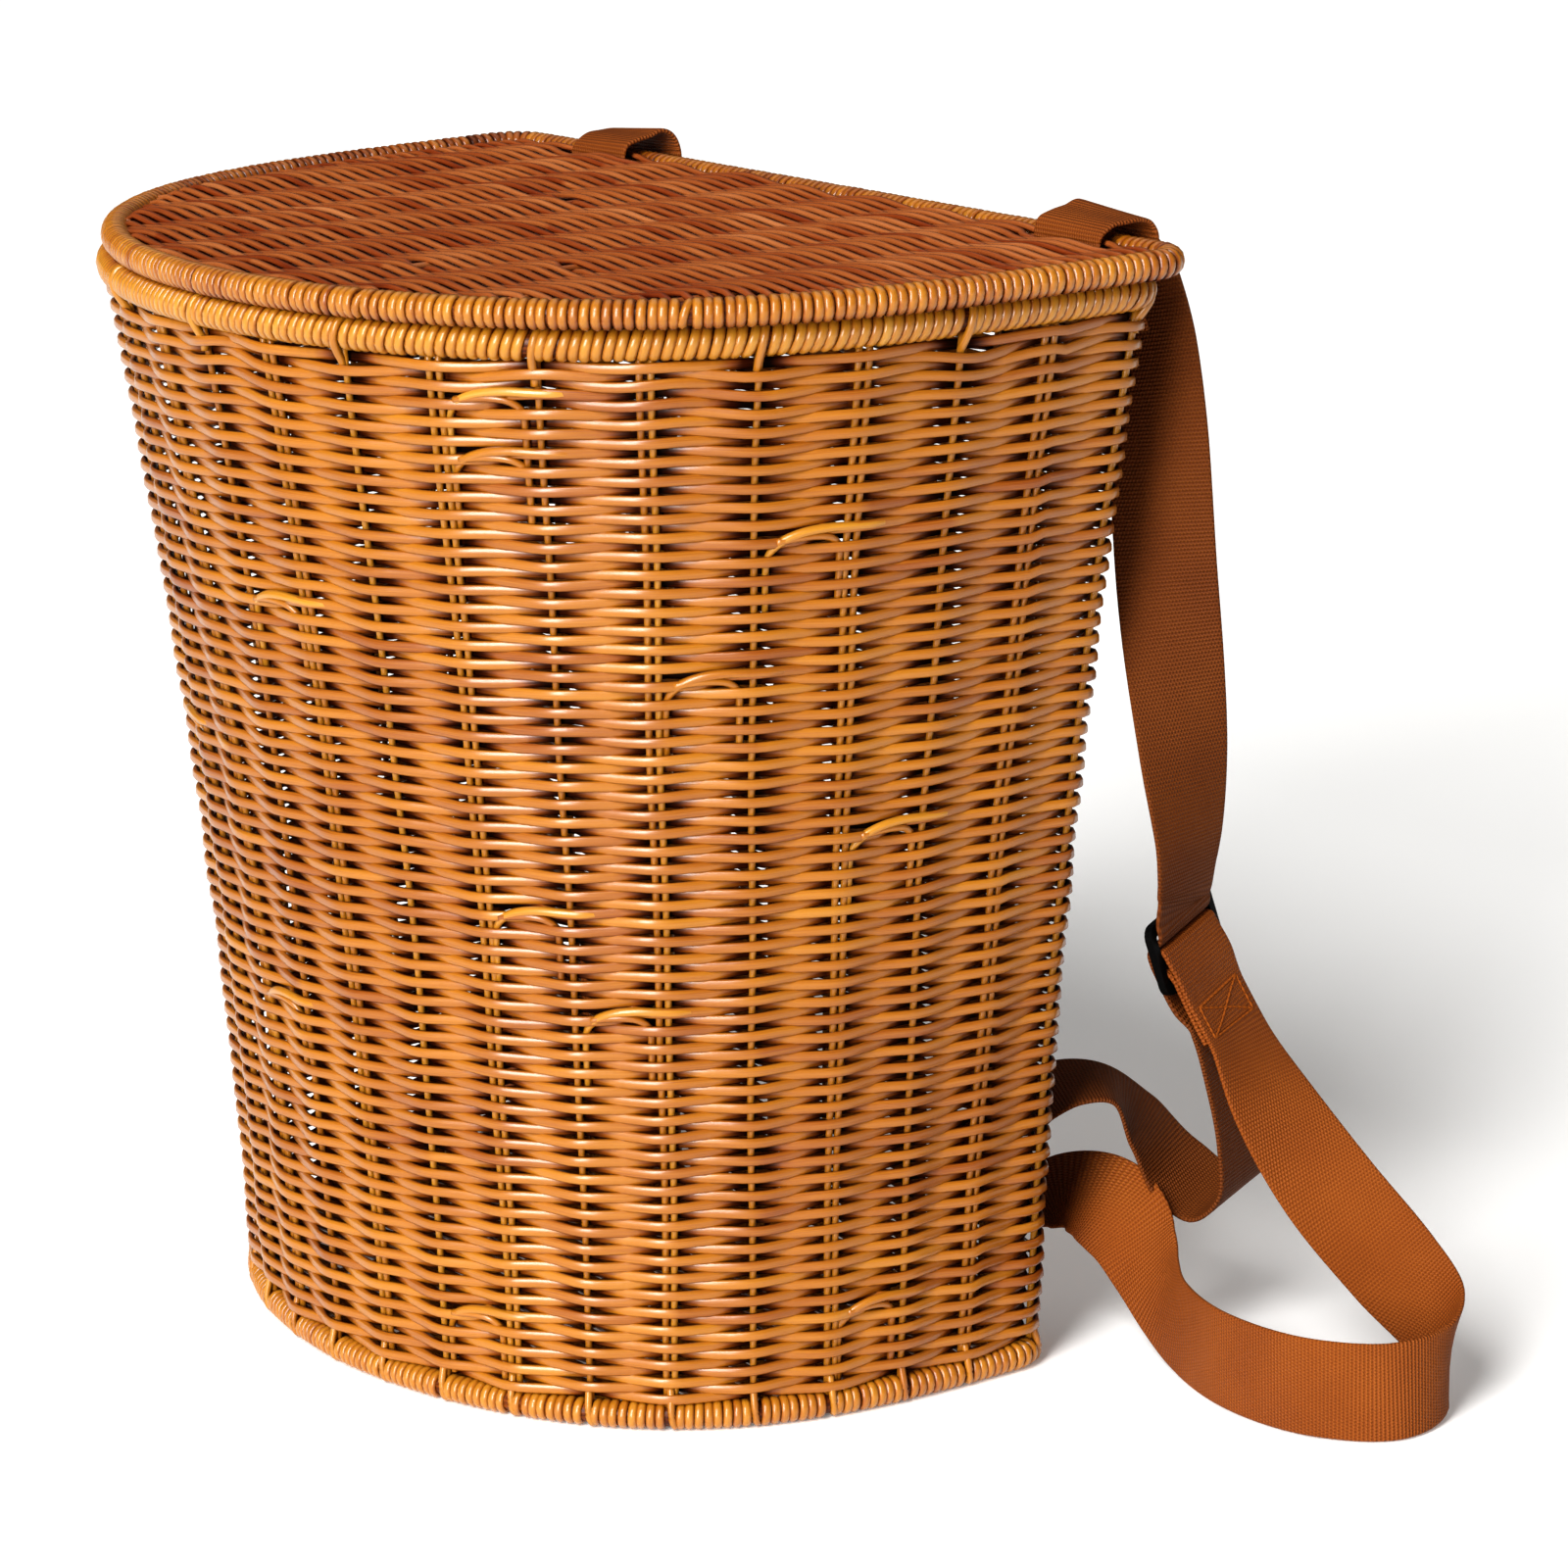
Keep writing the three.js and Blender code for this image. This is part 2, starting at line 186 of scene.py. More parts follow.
honeyWillow = willowMaterial("honeyWillow", [
    (0.0, "140501"), (0.16, "421702"), (0.32, "844207"),
    (0.52, "a6650e"), (0.8, "bb7f20"), (1.0, "c9953e")], roughness=0.45, coat=0.95)
russetWillow = willowMaterial("russetWillow", [
    (0.0, "200501"), (0.16, "541803"), (0.32, "7b340d"),
    (0.55, "965223"), (0.8, "af6e40"), (1.0, "c28b5f")], roughness=0.48, coat=0.25)

# polypropylene webbing: heavy weft ribs across it, crossed by warp yarns
webbingYarn = {
    "rib": 1.25 * mm,
    "yarn": 1.1 * mm,
    "bumpDepth": 0.35 * mm,
    "fuzz": 0.4 * mm,
    "fuzzShare": 0.6,
    "wearScale": 30.0,
    "wearShare": 0.35,
    "ior": 1.5,
    "roughness": 0.62,
    "sheen": 0.15,
}


def webbingMaterial():
    material, tree = newMaterial("brownWebbing")
    flat = addNode(tree, "ShaderNodeUVMap", {"uv_map": "webbing"})
    parts = addNode(tree, "ShaderNodeSeparateXYZ", None, {0: flat.outputs["UV"]})

    def wave(way, size):
        turns = addNode(tree, "ShaderNodeMath", {"operation": "MULTIPLY", 1: 2 * math.pi / size},
                        {0: parts.outputs[way]})
        return addNode(tree, "ShaderNodeMath", {"operation": "SINE"}, {0: turns.outputs[0]}).outputs[0]

    cross = addNode(tree, "ShaderNodeMath", {"operation": "MULTIPLY"},
                    {0: wave("Y", 2 * webbingYarn["rib"]), 1: wave("X", webbingYarn["yarn"])})
    height = addNode(tree, "ShaderNodeMath", {"operation": "ADD"},
                     {0: wave("Y", webbingYarn["rib"]), 1: cross.outputs[0]})
    fuzz = objectNoise(tree, 1 / webbingYarn["fuzz"])
    wear = objectNoise(tree, webbingYarn["wearScale"], 3.0)
    shade = addNode(tree, "ShaderNodeMapRange",
                    {"From Min": -2.0, "From Max": 2.0, "To Min": 0.12, "To Max": 0.58},
                    {"Value": height.outputs[0]})
    light = addNode(tree, "ShaderNodeMath", {"operation": "MULTIPLY_ADD", 1: webbingYarn["wearShare"]},
                    {0: wear, 2: shade.outputs["Result"]})
    colour = addNode(tree, "ShaderNodeValToRGB",
                     {"stops": [(0.0, "431c04"), (0.5, "793d11"), (1.0, "9d5c22")]},
                     {"Fac": light.outputs[0]})
    # painted shadow and light: the colour of each run of the strap is scaled by its tone
    tone = addNode(tree, "ShaderNodeAttribute", {"attribute_name": "tone"})
    shadowToned = addNode(tree, "ShaderNodeVectorMath", {"operation": "SCALE"},
                    {0: colour.outputs["Color"], "Scale": tone.outputs["Fac"]})
    grainy = addNode(tree, "ShaderNodeMath", {"operation": "MULTIPLY_ADD", 1: webbingYarn["fuzzShare"]},
                     {0: fuzz, 2: height.outputs[0]})
    bump = addNode(tree, "ShaderNodeBump", {"Strength": 0.6, "Distance": webbingYarn["bumpDepth"]},
                   {"Height": grainy.outputs[0]})
    addSurface(tree, {"IOR": webbingYarn["ior"], "Roughness": webbingYarn["roughness"],
                      "Specular IOR Level": webbingYarn["sheen"]},
               {"Base Color": shadowToned.outputs[0], "Normal": bump.outputs["Normal"]})
    return material


brownWebbing = webbingMaterial()


# one colour with a fine speck in it
def speckledMaterial(name, code, roughness, grain):
    material, tree = newMaterial(name)
    speck = objectNoise(tree, 1 / grain)
    rough = addNode(tree, "ShaderNodeMapRange", {"To Min": roughness - 0.1, "To Max": roughness + 0.1},
                    {"Value": speck})
    dark = hexLinear(code)
    worn = [c * 1.5 + 0.001 for c in dark[:3]] + [1.0]
    colour = addNode(tree, "ShaderNodeMix", {"data_type": "RGBA", 6: dark, 7: worn}, {"Factor": speck})
    bump = addNode(tree, "ShaderNodeBump", {"Strength": 0.2, "Distance": 0.05 * mm}, {"Height": speck})
    addSurface(tree, {"IOR": 1.54, "Specular IOR Level": 0.04},
               {"Base Color": colour.outputs[2], "Roughness": rough.outputs["Result"],
                "Normal": bump.outputs["Normal"]})
    return material


# moulded ABS: near black, satin, with a faint mould grain
blackAbs = speckledMaterial("blackAbs", "040404", roughness=0.42, grain=0.8 * mm)
# polyester thread: a little paler than the webbing, and matt
sewingThread = speckledMaterial("sewingThread", "814415", roughness=0.6, grain=0.5 * mm)
print("materials ready")


# basket outlines, the same as the solids: the middle line of each wrapped rim, seen from above
corner = 12 * mm
cornerShare = 0.08  # of the run along the back, for each rounded corner
acrossPower = 1.91
deepPower = 3.24
foot = {"halfWidth": 147.5 * mm, "depth": 174.5 * mm, "shift": 0.0, "back": 87.25 * mm}
mouth = {"halfWidth": 180 * mm, "depth": 230 * mm, "shift": 0.0, "back": 111.25 * mm}
lidEdge = {"halfWidth": 184 * mm, "depth": 235 * mm, "shift": 7.5 * mm, "back": 114.15 * mm}
rimHeight = 350 * mm
lidHeight = 359.9 * mm
footHeight = 4.62 * mm


def outlinePoints(size, p):
    p = np.asarray(p) % 1.0
    cornerY = size["back"] - corner
    cornerX = size["halfWidth"] - corner
    turn = np.pi * np.minimum(p, 0.5) / 0.5
    c = np.cos(turn)
    frontX = size["halfWidth"] * np.sign(c) * np.abs(c) ** (2 / acrossPower)
    frontY = cornerY - (size["depth"] - corner) * np.abs(np.sin(turn)) ** (2 / deepPower)
    along = (p - 0.5) / 0.5
    side = np.where(along < 0.5, -1.0, 1.0)
    fromSide = np.minimum(along, 1 - along)
    bend = np.pi / 2 * fromSide / cornerShare
    inCorner = fromSide < cornerShare
    backX = np.where(inCorner, side * (cornerX + corner * np.cos(bend)),
                     cornerX * (along - 0.5) / (0.5 - cornerShare))
    backY = np.where(inCorner, cornerY + corner * np.sin(bend), size["back"])
    front = p < 0.5
    x = size["shift"] + np.where(front, frontX, backX)
    return np.stack([x, np.where(front, frontY, backY)], -1)


def outlineOut(size, p):
    along = outlinePoints(size, p + 1e-4) - outlinePoints(size, p - 1e-4)
    along /= np.linalg.norm(along, axis=-1, keepdims=True)
    return np.stack([-along[..., 1], along[..., 0]], -1)


finePlaces = np.linspace(0, 1, 12001)


def outlineLengths(size):
    points = outlinePoints(size, np.append(finePlaces[:-1], 0.0))
    steps = np.linalg.norm(np.diff(points, axis=0), axis=1)
    return np.concatenate([[0.0], np.cumsum(steps)])


def placesAt(size, lengths):
    known = outlineLengths(size)
    return np.interp(np.asarray(lengths) % known[-1], known, finePlaces)


def unit(v):
    return v / np.maximum(np.linalg.norm(v, axis=-1, keepdims=True), 1e-12)


def eased(t):
    t = np.clip(t, 0, 1)
    return t * t * (3 - 2 * t)


# painted shade in the weave: how dark it gets, how deep a rod has to lie for any, how fast it then
# grows
creviceShade = {"darkness": 0.46, "from": 0.4, "gain": 1.4, "edge": -0.1}
rodCount = 0


# rods: round or squarer sections carried along many paths at once
# depth is how far out each path lies, from -1 to 1: painted shade darkens the side that faces into the
# weave
def sweep(paths, up, radius, sides=6, flat=1.0, square=1.0, closed=False, tone=0.5, depth=None,
          sideShade=0.0):
    global rodCount
    paths = np.asarray(paths, float)
    rods, steps = paths.shape[:2]
    ahead = np.roll(paths, -1, 1) - np.roll(paths, 1, 1) if closed else np.gradient(paths, axis=1)
    ahead = unit(ahead)
    out = unit(np.cross(ahead, np.broadcast_to(up, paths.shape)))
    lift = np.cross(out, ahead)
    turn = 2 * np.pi * (np.arange(sides) + 0.5) / sides
    thick = np.broadcast_to(radius, (rods, steps))[..., None, None]
    reach, rise = [np.sign(w) * np.abs(w) ** square for w in (np.cos(turn), np.sin(turn))]
    section = flat * reach[:, None] * out[:, :, None] + rise[:, None] * lift[:, :, None]
    points = paths[:, :, None] + thick * section
    index = np.arange(rods * steps * sides).reshape(rods, steps, sides)
    here = index if closed else index[:, :-1]
    after = np.roll(index, -1, 1) if closed else index[:, 1:]
    quads = np.stack([here, after, np.roll(after, -1, 2), np.roll(here, -1, 2)], -1).reshape(-1, 4)
    caps = np.zeros((0, sides), int) if closed else np.concatenate([index[:, 0], index[:, -1, ::-1]])
    length = np.concatenate([np.zeros((rods, 1)),
                             np.cumsum(np.linalg.norm(np.diff(paths, axis=1), axis=2), axis=1)], 1)
    grain = np.zeros((rods, steps, sides, 3))
    grain[..., 0] = length[..., None]
    grain[..., 1] = turn * thick[..., 0]
    grain[..., 2] = (rodCount + np.arange(rods))[:, None, None] * willow["rodsApart"]
    rodCount += rods
    tones = np.broadcast_to(tone, (rods, steps))[..., None]
    # painted shade on the top and bottom of each rod, where it meets its neighbours
    tones = tones - np.broadcast_to(sideShade, (rods, steps))[..., None] * np.sin(turn) ** 4
    if depth is not None:
        # a rod's edges count as its outer side
        facing = np.where(np.cos(turn) > creviceShade["edge"], 1.0, -1.0)
        # painted shade on a rod where it lies deep in the weave
        buried = np.clip(-creviceShade["from"] - creviceShade["gain"] * depth[..., None] * facing, 0, 1)
        tones = tones - creviceShade["darkness"] * buried
    return {"points": points.reshape(-1, 3), "faces": [quads, caps],
            "grain": grain.reshape(-1, 3), "tone": tones.reshape(-1)}


def rodTones(count, middle=0.5, spread=0.07):
    return np.clip(middle + spread * dice.standard_normal((count, 1)), 0.05, 0.95)


def makePiece(name, sweeps, material, body, replaces=()):
    loops, totals, base = [], [], 0
    for part in sweeps:
        for faces in part["faces"]:
            if len(faces):
                loops.append((faces + base).ravel())
                totals.append(np.full(len(faces), faces.shape[1]))
        base += len(part["points"])
    loops = np.concatenate(loops)
    totals = np.concatenate(totals)

    def together(key):
        return np.concatenate([part[key] for part in sweeps]).astype(np.float32).ravel()

    mesh = bpy.data.meshes.new(name)
    mesh.vertices.add(base)
    mesh.vertices.foreach_set("co", together("points"))
    mesh.loops.add(len(loops))
    mesh.loops.foreach_set("vertex_index", loops.astype(np.int32))
    mesh.polygons.add(len(totals))
    starts = np.concatenate([[0], np.cumsum(totals)[:-1]])
    mesh.polygons.foreach_set("loop_start", starts.astype(np.int32))
    mesh.update(calc_edges=True)
    mesh.validate()
    tone = mesh.attributes.new("tone", "FLOAT", "POINT")
    tone.data.foreach_set("value", together("tone"))
    grain = mesh.attributes.new("grain", "FLOAT_VECTOR", "POINT")
    grain.data.foreach_set("vector", together("grain"))
    mesh.shade_smooth()
    mesh.materials.append(material)
    piece = addObject(name, mesh)
    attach(piece, body)
    if replaces:
        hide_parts(*replaces)
    print(name, "has", int(np.sum(totals - 2)), "triangles")
    return piece


# smooth wandering over a surface: a few waves with seeded phases
def wander(u, v, waves, longest, shortest, cross=1.3):
    total = np.zeros(np.broadcast(u, v).shape)
    for size in np.geomspace(longest, shortest, waves):
        phase, lean = dice.uniform(0, 2 * np.pi, 2)
        total += np.cos(2 * np.pi * u / size + phase + v / size * cross * np.cos(lean)) / waves ** 0.5
    return total


# the wall: weaver rods in front of and behind upright stakes, row on row
wall = {
    "low": 9.4 * mm,
    "high": 343.8 * mm,
    "rows": 115,
    "proud": 3.8 * mm,
    "waist": 5.1 * mm,
    "thickness": 7 * mm,
    "rodHalfHeight": 1.62 * mm,
    "rodFlat": 0.6,
    "rodSquare": 0.6,
    "rodSides": 8,
    "waveDepth": 2.55 * mm,
    "stepsPerStake": 8,
    "sway": 0.35 * mm,
    "topSway": 1.2 * mm,
    "topSwayReach": 38 * mm,
    "calmAtFoot": 6 * mm,
    "calmAtTop": 5 * mm,
    "straighten": 0.1,
    "uneven": 0.25 * mm,
    "rodChanges": 3,
    "tone": 0.49,
    "toneSpread": 0.045,
    "sideShade": 0.04,
    "pairLight": 0.5,  # less painted shade on the rod between the two stakes of a pair, where light reaches it
}
rowPitch = (wall["high"] - wall["low"]) / wall["rows"]
stakes = {
    "first": 27.5 * mm,
    "frontPitch": 33.14 * mm,
    "frontCount": 20,
    "backCount": 10,
    "radius": 1.2 * mm,
    "pairGap": 3.5 * mm,
    "steps": 40,
    "low": 7 * mm,
    "high": 347 * mm,
    "sway": 0.5 * mm,
    "tone": 0.6,
}
mouthLength = outlineLengths(mouth)[-1]
frontStakes = stakes["first"] + stakes["frontPitch"] * np.arange(stakes["frontCount"])
backStakes = np.linspace(frontStakes[-1], mouthLength + stakes["first"], stakes["backCount"] + 2)[1:]
stakeLengths = np.concatenate([frontStakes, backStakes])  # the last is the first again, one turn on
stakeCount = len(stakeLengths) - 1

# slits that the webbing passes through, by place along the back and height
webbingHalf = 16 * mm
rightLoop = 148.5 * mm
leftLoop = -110 * mm
mirrorX = leftLoop + rightLoop  # a place on the right strap and its twin on the left add up to this
anchors = {"x": 122 * mm, "low": 42 * mm, "high": 74 * mm}
loopSlit = 339.6 * mm
slits = [(x, z) for x in (anchors["x"], mirrorX - anchors["x"])
         for z in (anchors["low"], anchors["high"])]
slits += [(rightLoop, loopSlit), (leftLoop, loopSlit)]
wallSlit = {"open": 2.5 * mm, "past": 8 * mm, "ease": 7 * mm, "fade": 6 * mm}
backFrom = 70 * mm


def wallPoints(lengths, z, depth):
    p = placesAt(mouth, lengths)
    down = ((rimHeight - z) / (rimHeight - footHeight))[..., None]
    flat = outlinePoints(mouth, p) * (1 - down) + outlinePoints(foot, p) * down
    reach = wall["proud"] - wall["thickness"] / 2 - wall["waist"] * 4 * down * (1 - down)
    flat = flat + outlineOut(mouth, p) * (reach + depth[..., None])
    return np.concatenate([flat, np.broadcast_to(z, flat.shape[:-1])[..., None]], -1)


# rods part at a slit, as wide as the webbing and a little past its edges, less and less away from it
def parted(at, slitAt, fromMiddle, slit):
    away = at - slitAt
    beside = eased((webbingHalf + slit["past"] - np.abs(fromMiddle)) / slit["ease"])
    return at + np.where(away < 0, -1, 1) * slit["open"] * np.exp(-np.abs(away) / slit["fade"]) * beside


def openSlits(x, y, z):
    for slitX, slitZ in slits:
        z = np.where(y > backFrom, parted(z, slitZ, x - slitX, wallSlit), z)
    return z


# joins, by stake and height in millimetres: a new rod's end arcs down beside the next stake, and the
# rod before it turns down beside this one
joins = [
    (5, 333), (5, 313), (2, 291), (3, 246), (1, 190), (5, 168), (4, 138), (1, 34), (6, 30), (8, 262),
    (9, 121), (11, 205), (13, 88), (15, 290), (16, 170), (18, 60), (21, 240), (23, 150), (26, 205),
    (27, 100), (28, 300),
]
joinRods = {"radius": 1.45 * mm, "tuckThinner": 0.85, "steps": 36, "lowest": 10.5 * mm, "arcTone": 0.65}
# the rows make room for a join: how deep they sink, and from where to where past its stake
joinSink = {"drop": 1.7 * mm, "ease": 0.2, "newRod": (0.2, 1.05), "oldRod": (-0.05, 0.6)}
# along from the stake in shares of the stake pitch, up from the row and out in millimetres
arcRows = [(-0.36, 0, 0.4), (-0.15, 0, 2.05), (0.08, 0.3, 2.6), (0.3, 0.5, 2.6), (0.52, -0.2, 2.4),
           (0.7, -2.0, 1.8), (0.81, -4.4, 1.0), (0.87, -7.2, 0.2), (0.89, -11, 0.0), (0.89, -26, 0.0)]
tuckRows = [(0.8, -2.9, 1.8), (0.6, -2.0, 2.1), (0.42, -1.8, 2.0), (0.27, -2.6, 1.5),
            (0.17, -5.0, 0.5), (0.14, -8.5, 0.0), (0.14, -24, 0.0)]


# the row that a join belongs to is in front of the join's stake
def joinRow(stake, height):
    row = round((height * mm - wall["low"]) / rowPitch - 0.5)
    return row if (row + stake) % 2 == 0 else row + 1


def sinkRow(depth, row, phase, stake, rod):
    start, end = [stake + share for share in joinSink[rod]]
    inside = np.minimum(phase - start, end - phase) / joinSink["ease"]
    depth[row] -= joinSink["drop"] * eased(inside)


def wallRows():
    phase = np.arange(stakeCount * wall["stepsPerStake"]) / wall["stepsPerStake"]
    lengths = np.interp(phase, np.arange(stakeCount + 1), stakeLengths)[None]
    rows = np.arange(wall["rows"])[:, None]
    z = wall["low"] + (rows + 0.5) * rowPitch + np.zeros_like(lengths)
    nearTop = np.clip(1 - (wall["high"] - z) / wall["topSwayReach"], 0, 1) ** 2
    loose = wall["sway"] + nearTop * wall["topSway"]
    loose = loose * np.clip((z - wall["low"]) / wall["calmAtFoot"], 0, 1)
    loose = loose * np.clip((wall["high"] - z) / wall["calmAtTop"], 0.3, 1)
    z = z + loose * wander(lengths, z * 2.2, waves=6, longest=0.21, shortest=0.04)
    turn = np.pi * (phase[None] + rows)
    bend = wall["straighten"]  # straighter between stakes than a plain wave
    depth = wall["waveDepth"] * (np.cos(turn) + bend * np.cos(3 * turn)) / (1 + bend)
    depth = depth + wall["uneven"] * wander(lengths, z * 9, waves=4, longest=0.12, shortest=0.03)
    for stake, height in joins:
        row = joinRow(stake, height)
        sinkRow(depth, row, phase, stake, "newRod")
        sinkRow(depth, row - 1, phase, stake, "oldRod")
    paths = wallPoints(lengths + np.zeros_like(z), z, depth)
    paths[..., 2] = openSlits(paths[..., 0], paths[..., 1], paths[..., 2])
    tone = np.broadcast_to(rodTones(wall["rows"], wall["tone"], wall["toneSpread"]), z.shape).copy()
    for row in range(wall["rows"]):  # each row is laid with several rods, changed behind a stake
        cuts = np.sort(dice.integers(0, stakeCount, wall["rodChanges"])) * wall["stepsPerStake"]
        for a, b in zip(cuts[:-1], cuts[1:]):
            tone[row, a:b] = rodTones(1, wall["tone"], wall["toneSpread"])[0, 0]
    buried = depth / wall["waveDepth"]
    buried[:, phase % 2 == 0] *= wall["pairLight"]
    return paths, tone, buried


rowPaths, rowTones, rowDepths = wallRows()
third = wall["rows"] // 3
for name, first, last in (("wallWeaveLow", 0, third), ("wallWeaveMiddle", third, 2 * third),
                          ("wallWeaveTop", 2 * third, wall["rows"])):
    rods = sweep(rowPaths[first:last], (0, 0, -1), wall["rodHalfHeight"], wall["rodSides"],
                 wall["rodFlat"], wall["rodSquare"], closed=True, tone=rowTones[first:last],
                 depth=rowDepths[first:last], sideShade=wall["sideShade"])
    makePiece(name, [rods], honeyWillow, "basket",
              ["woven_wall"] if name == "wallWeaveMiddle" else [])


def uprights():
    z = np.linspace(stakes["low"], stakes["high"], stakes["steps"])
    paths = []
    for k in range(stakeCount):
        pair = (0.0,) if k % 2 else (-stakes["pairGap"] / 2, stakes["pairGap"] / 2)
        lean = stakes["sway"] * wander(z, np.zeros_like(z) + k, waves=3, longest=0.4, shortest=0.1)
        for offset in pair:
            paths.append(wallPoints(stakeLengths[k] + offset + lean, z, np.zeros_like(z)))
    return np.array(paths)


# even steps along a list of rows: how far each is past a row, and the four rows round it
def fourRows(rows, steps):
    rows = np.asarray(rows, float)
    ends = np.concatenate([[2 * rows[0] - rows[1]], rows, [2 * rows[-1] - rows[-2]]])
    at = np.linspace(0, len(rows) - 1, steps)
    i = np.minimum(at.astype(int), len(rows) - 2)
    return (at - i)[:, None], ends[i], ends[i + 1], ends[i + 2], ends[i + 3]


def smoothPath(rows, steps):
    t, a, b, c, d = fourRows(rows, steps)
    return 0.5 * (2 * b + (c - a) * t + (2 * a - 5 * b + 4 * c - d) * t ** 2
                  + (3 * b - a - 3 * c + d) * t ** 3)


def joinPaths(rows):
    run = smoothPath(rows, joinRods["steps"])
    paths = []
    for k, height in joins:
        lengths = stakeLengths[k] + run[:, 0] * (stakeLengths[k + 1] - stakeLengths[k])
        rowHeight = rowPaths[joinRow(k, height), k * wall["stepsPerStake"], 2]
        z = np.maximum(rowHeight + run[:, 1] * mm, joinRods["lowest"])
        paths.append(wallPoints(lengths, z, run[:, 2] * mm))
    return np.array(paths)


stakePaths = uprights()
stakeRods = sweep(stakePaths, (0, 1, 0.02), stakes["radius"],
                  tone=rodTones(len(stakePaths), stakes["tone"]))
# an arc is thinner at its hidden start and where it turns down
taperPlaces, taperShares = [0, 0.1, 0.6, 0.78, 1], [0.65, 1, 1, 0.8, 0.75]
arcTaper = np.interp(np.linspace(0, 1, joinRods["steps"]), taperPlaces, taperShares)
arcRods = sweep(joinPaths(arcRows), (0, 0.1, 1), joinRods["radius"] * arcTaper[None],
                tone=rodTones(len(joins), joinRods["arcTone"]))
tuckRods = sweep(joinPaths(tuckRows), (0, 0.1, 1), joinRods["radius"] * joinRods["tuckThinner"],
                 tone=rodTones(len(joins)))
makePiece("stakesAndJoins", [stakeRods, arcRods, tuckRods], honeyWillow, "basket")


# rims: a core wrapped round and round, with the stake ends laid across it
def rimPath(size, lengths, height):
    p = placesAt(size, lengths)
    middle = outlinePoints(size, p)
    flat = np.concatenate([middle, np.full(middle.shape[:-1] + (1,), height)], -1)
    out = outlineOut(size, p)
    out = np.concatenate([out, np.zeros(out.shape[:-1] + (1,))], -1)
    return flat, out


# where the lid's rim gets painted shade, in shares of the way round: along the back, and most at the
# far left, where the photo shows hardly any gold
farEdge = {
    "start": 0.39, "startEase": 0.03, "end": 1.02, "endEase": 0.06, "leftEnd": 0.53, "leftDarker": 1.7,
}


def towardsBack(size, lengths):
    p = placesAt(size, lengths)
    inside = np.minimum((p - farEdge["start"]) / farEdge["startEase"],
                        (farEdge["end"] - p) / farEdge["endEase"])
    return np.where(p < farEdge["leftEnd"], farEdge["leftDarker"], 1.0) * np.clip(inside, 0, 1)


rimWraps = {
    "sides": 8, "flat": 0.6, "pitchJitter": 0.05, "slantJitter": 1.5, "ringJitter": 0.01,
    "toneSpread": 0.045, "seamShade": 0.4, "coreSteps": 180, "coreGap": 0.2 * mm, "coreShadedTone": 0.2,
}
upwards = np.array([0, 0, 1.0])


def wrappedRim(rim):
    size, height, flat = rim["size"], rim["height"], rimWraps["flat"]
    total = outlineLengths(size)[-1]
    count = round(total / rim["pitch"])
    at = (np.arange(count) + rimWraps["pitchJitter"] * dice.standard_normal(count)) * total / count
    apart = np.abs((at[:, None] - rim["breaks"][None] + total / 2) % total - total / 2).min(1)
    at = at[apart > rim["breakGap"]]  # no wrap where a stake end crosses
    turn = 2 * np.pi * np.arange(rim["steps"]) / rim["steps"]
    radius = rim["radius"] - rim["wrap"] * flat
    slant = rim["slant"] + rimWraps["slantJitter"] * dice.standard_normal(len(at))
    lengths = at[:, None] - np.tan(np.radians(slant))[:, None] * radius * np.sin(turn)[None]
    middle, out = rimPath(size, lengths, height)
    ring = radius * (1 + rimWraps["ringJitter"] * dice.standard_normal((len(at), 1, 1)))
    paths = middle + out * np.cos(turn)[None, :, None] * ring
    paths = paths + upwards * np.sin(turn)[None, :, None] * ring
    ahead = np.stack([out[..., 1], -out[..., 0], out[..., 2]], -1)
    tone = rodTones(len(at), rim["tone"], rimWraps["toneSpread"])
    # painted shade along the back of the lid's rim
    tone = tone - rim["backShade"] * towardsBack(size, at)[:, None]
    # painted shade: the side that faces the other rim is darkened, as it lies in the dark
    tone = tone - rimWraps["seamShade"] * np.clip(3 * rim["seamSide"] * np.sin(turn) - 2, 0, 1)[None]
    wraps = sweep(paths, ahead, rim["wrap"], rimWraps["sides"], flat, closed=True, tone=tone,
                  sideShade=rim["sideShade"])
    core = rimPath(size, np.linspace(0, total, rimWraps["coreSteps"] + 1)[None, :-1], height)[0]
    # painted shade: the core, seen only in the gaps between the wraps, is dark
    inside = sweep(core, upwards, radius - rimWraps["coreGap"], rimWraps["sides"], closed=True,
                   tone=rimWraps["coreShadedTone"])
    return [wraps, inside]


# stake ends that leave the wall and cross the rim: rows are along, out and up from the rim's middle
def stakeEnds(rim, steps=16):
    run = smoothPath(rim["endRows"], steps) * mm
    paths = []
    for place in rim["breaks"]:
        middle, out = rimPath(rim["size"], place + run[:, 0], rim["height"])
        flare = rim["endFlare"] * run[:, 2:3] * middle * (1, 1, 0)
        paths.append(middle + flare + out * run[:, 1:2] + upwards * run[:, 2:3])
    return sweep(np.array(paths), (0.01, 0.02, 1), rim["endRadius"],
                 tone=rodTones(len(paths), rim["endTone"]))


topRim = {
    "size": mouth, "height": rimHeight, "radius": 5.6 * mm, "wrap": 1.72 * mm, "pitch": 3.4 * mm,
    "slant": 17, "steps": 14, "tone": 0.76, "sideShade": 0.36, "backShade": 0.0, "seamSide": 1,
    "breaks": stakeLengths[1:-1:2], "breakGap": 1.9 * mm,  # at the single stakes
    "endRadius": 1.4 * mm, "endTone": 0.62, "endFlare": 0.6,
    "endRows": [(0, 0.3, -13), (0, 0.5, -9.5), (0, 2.3, -6.4), (-0.4, 4.2, -2.6), (-1.1, 4.2, 1.2),
                (-1.9, 2.4, 3.8), (-2.5, -1.0, 4.2)],
}
footPlaces = np.interp(placesAt(mouth, stakeLengths[:-1]), finePlaces, outlineLengths(foot))
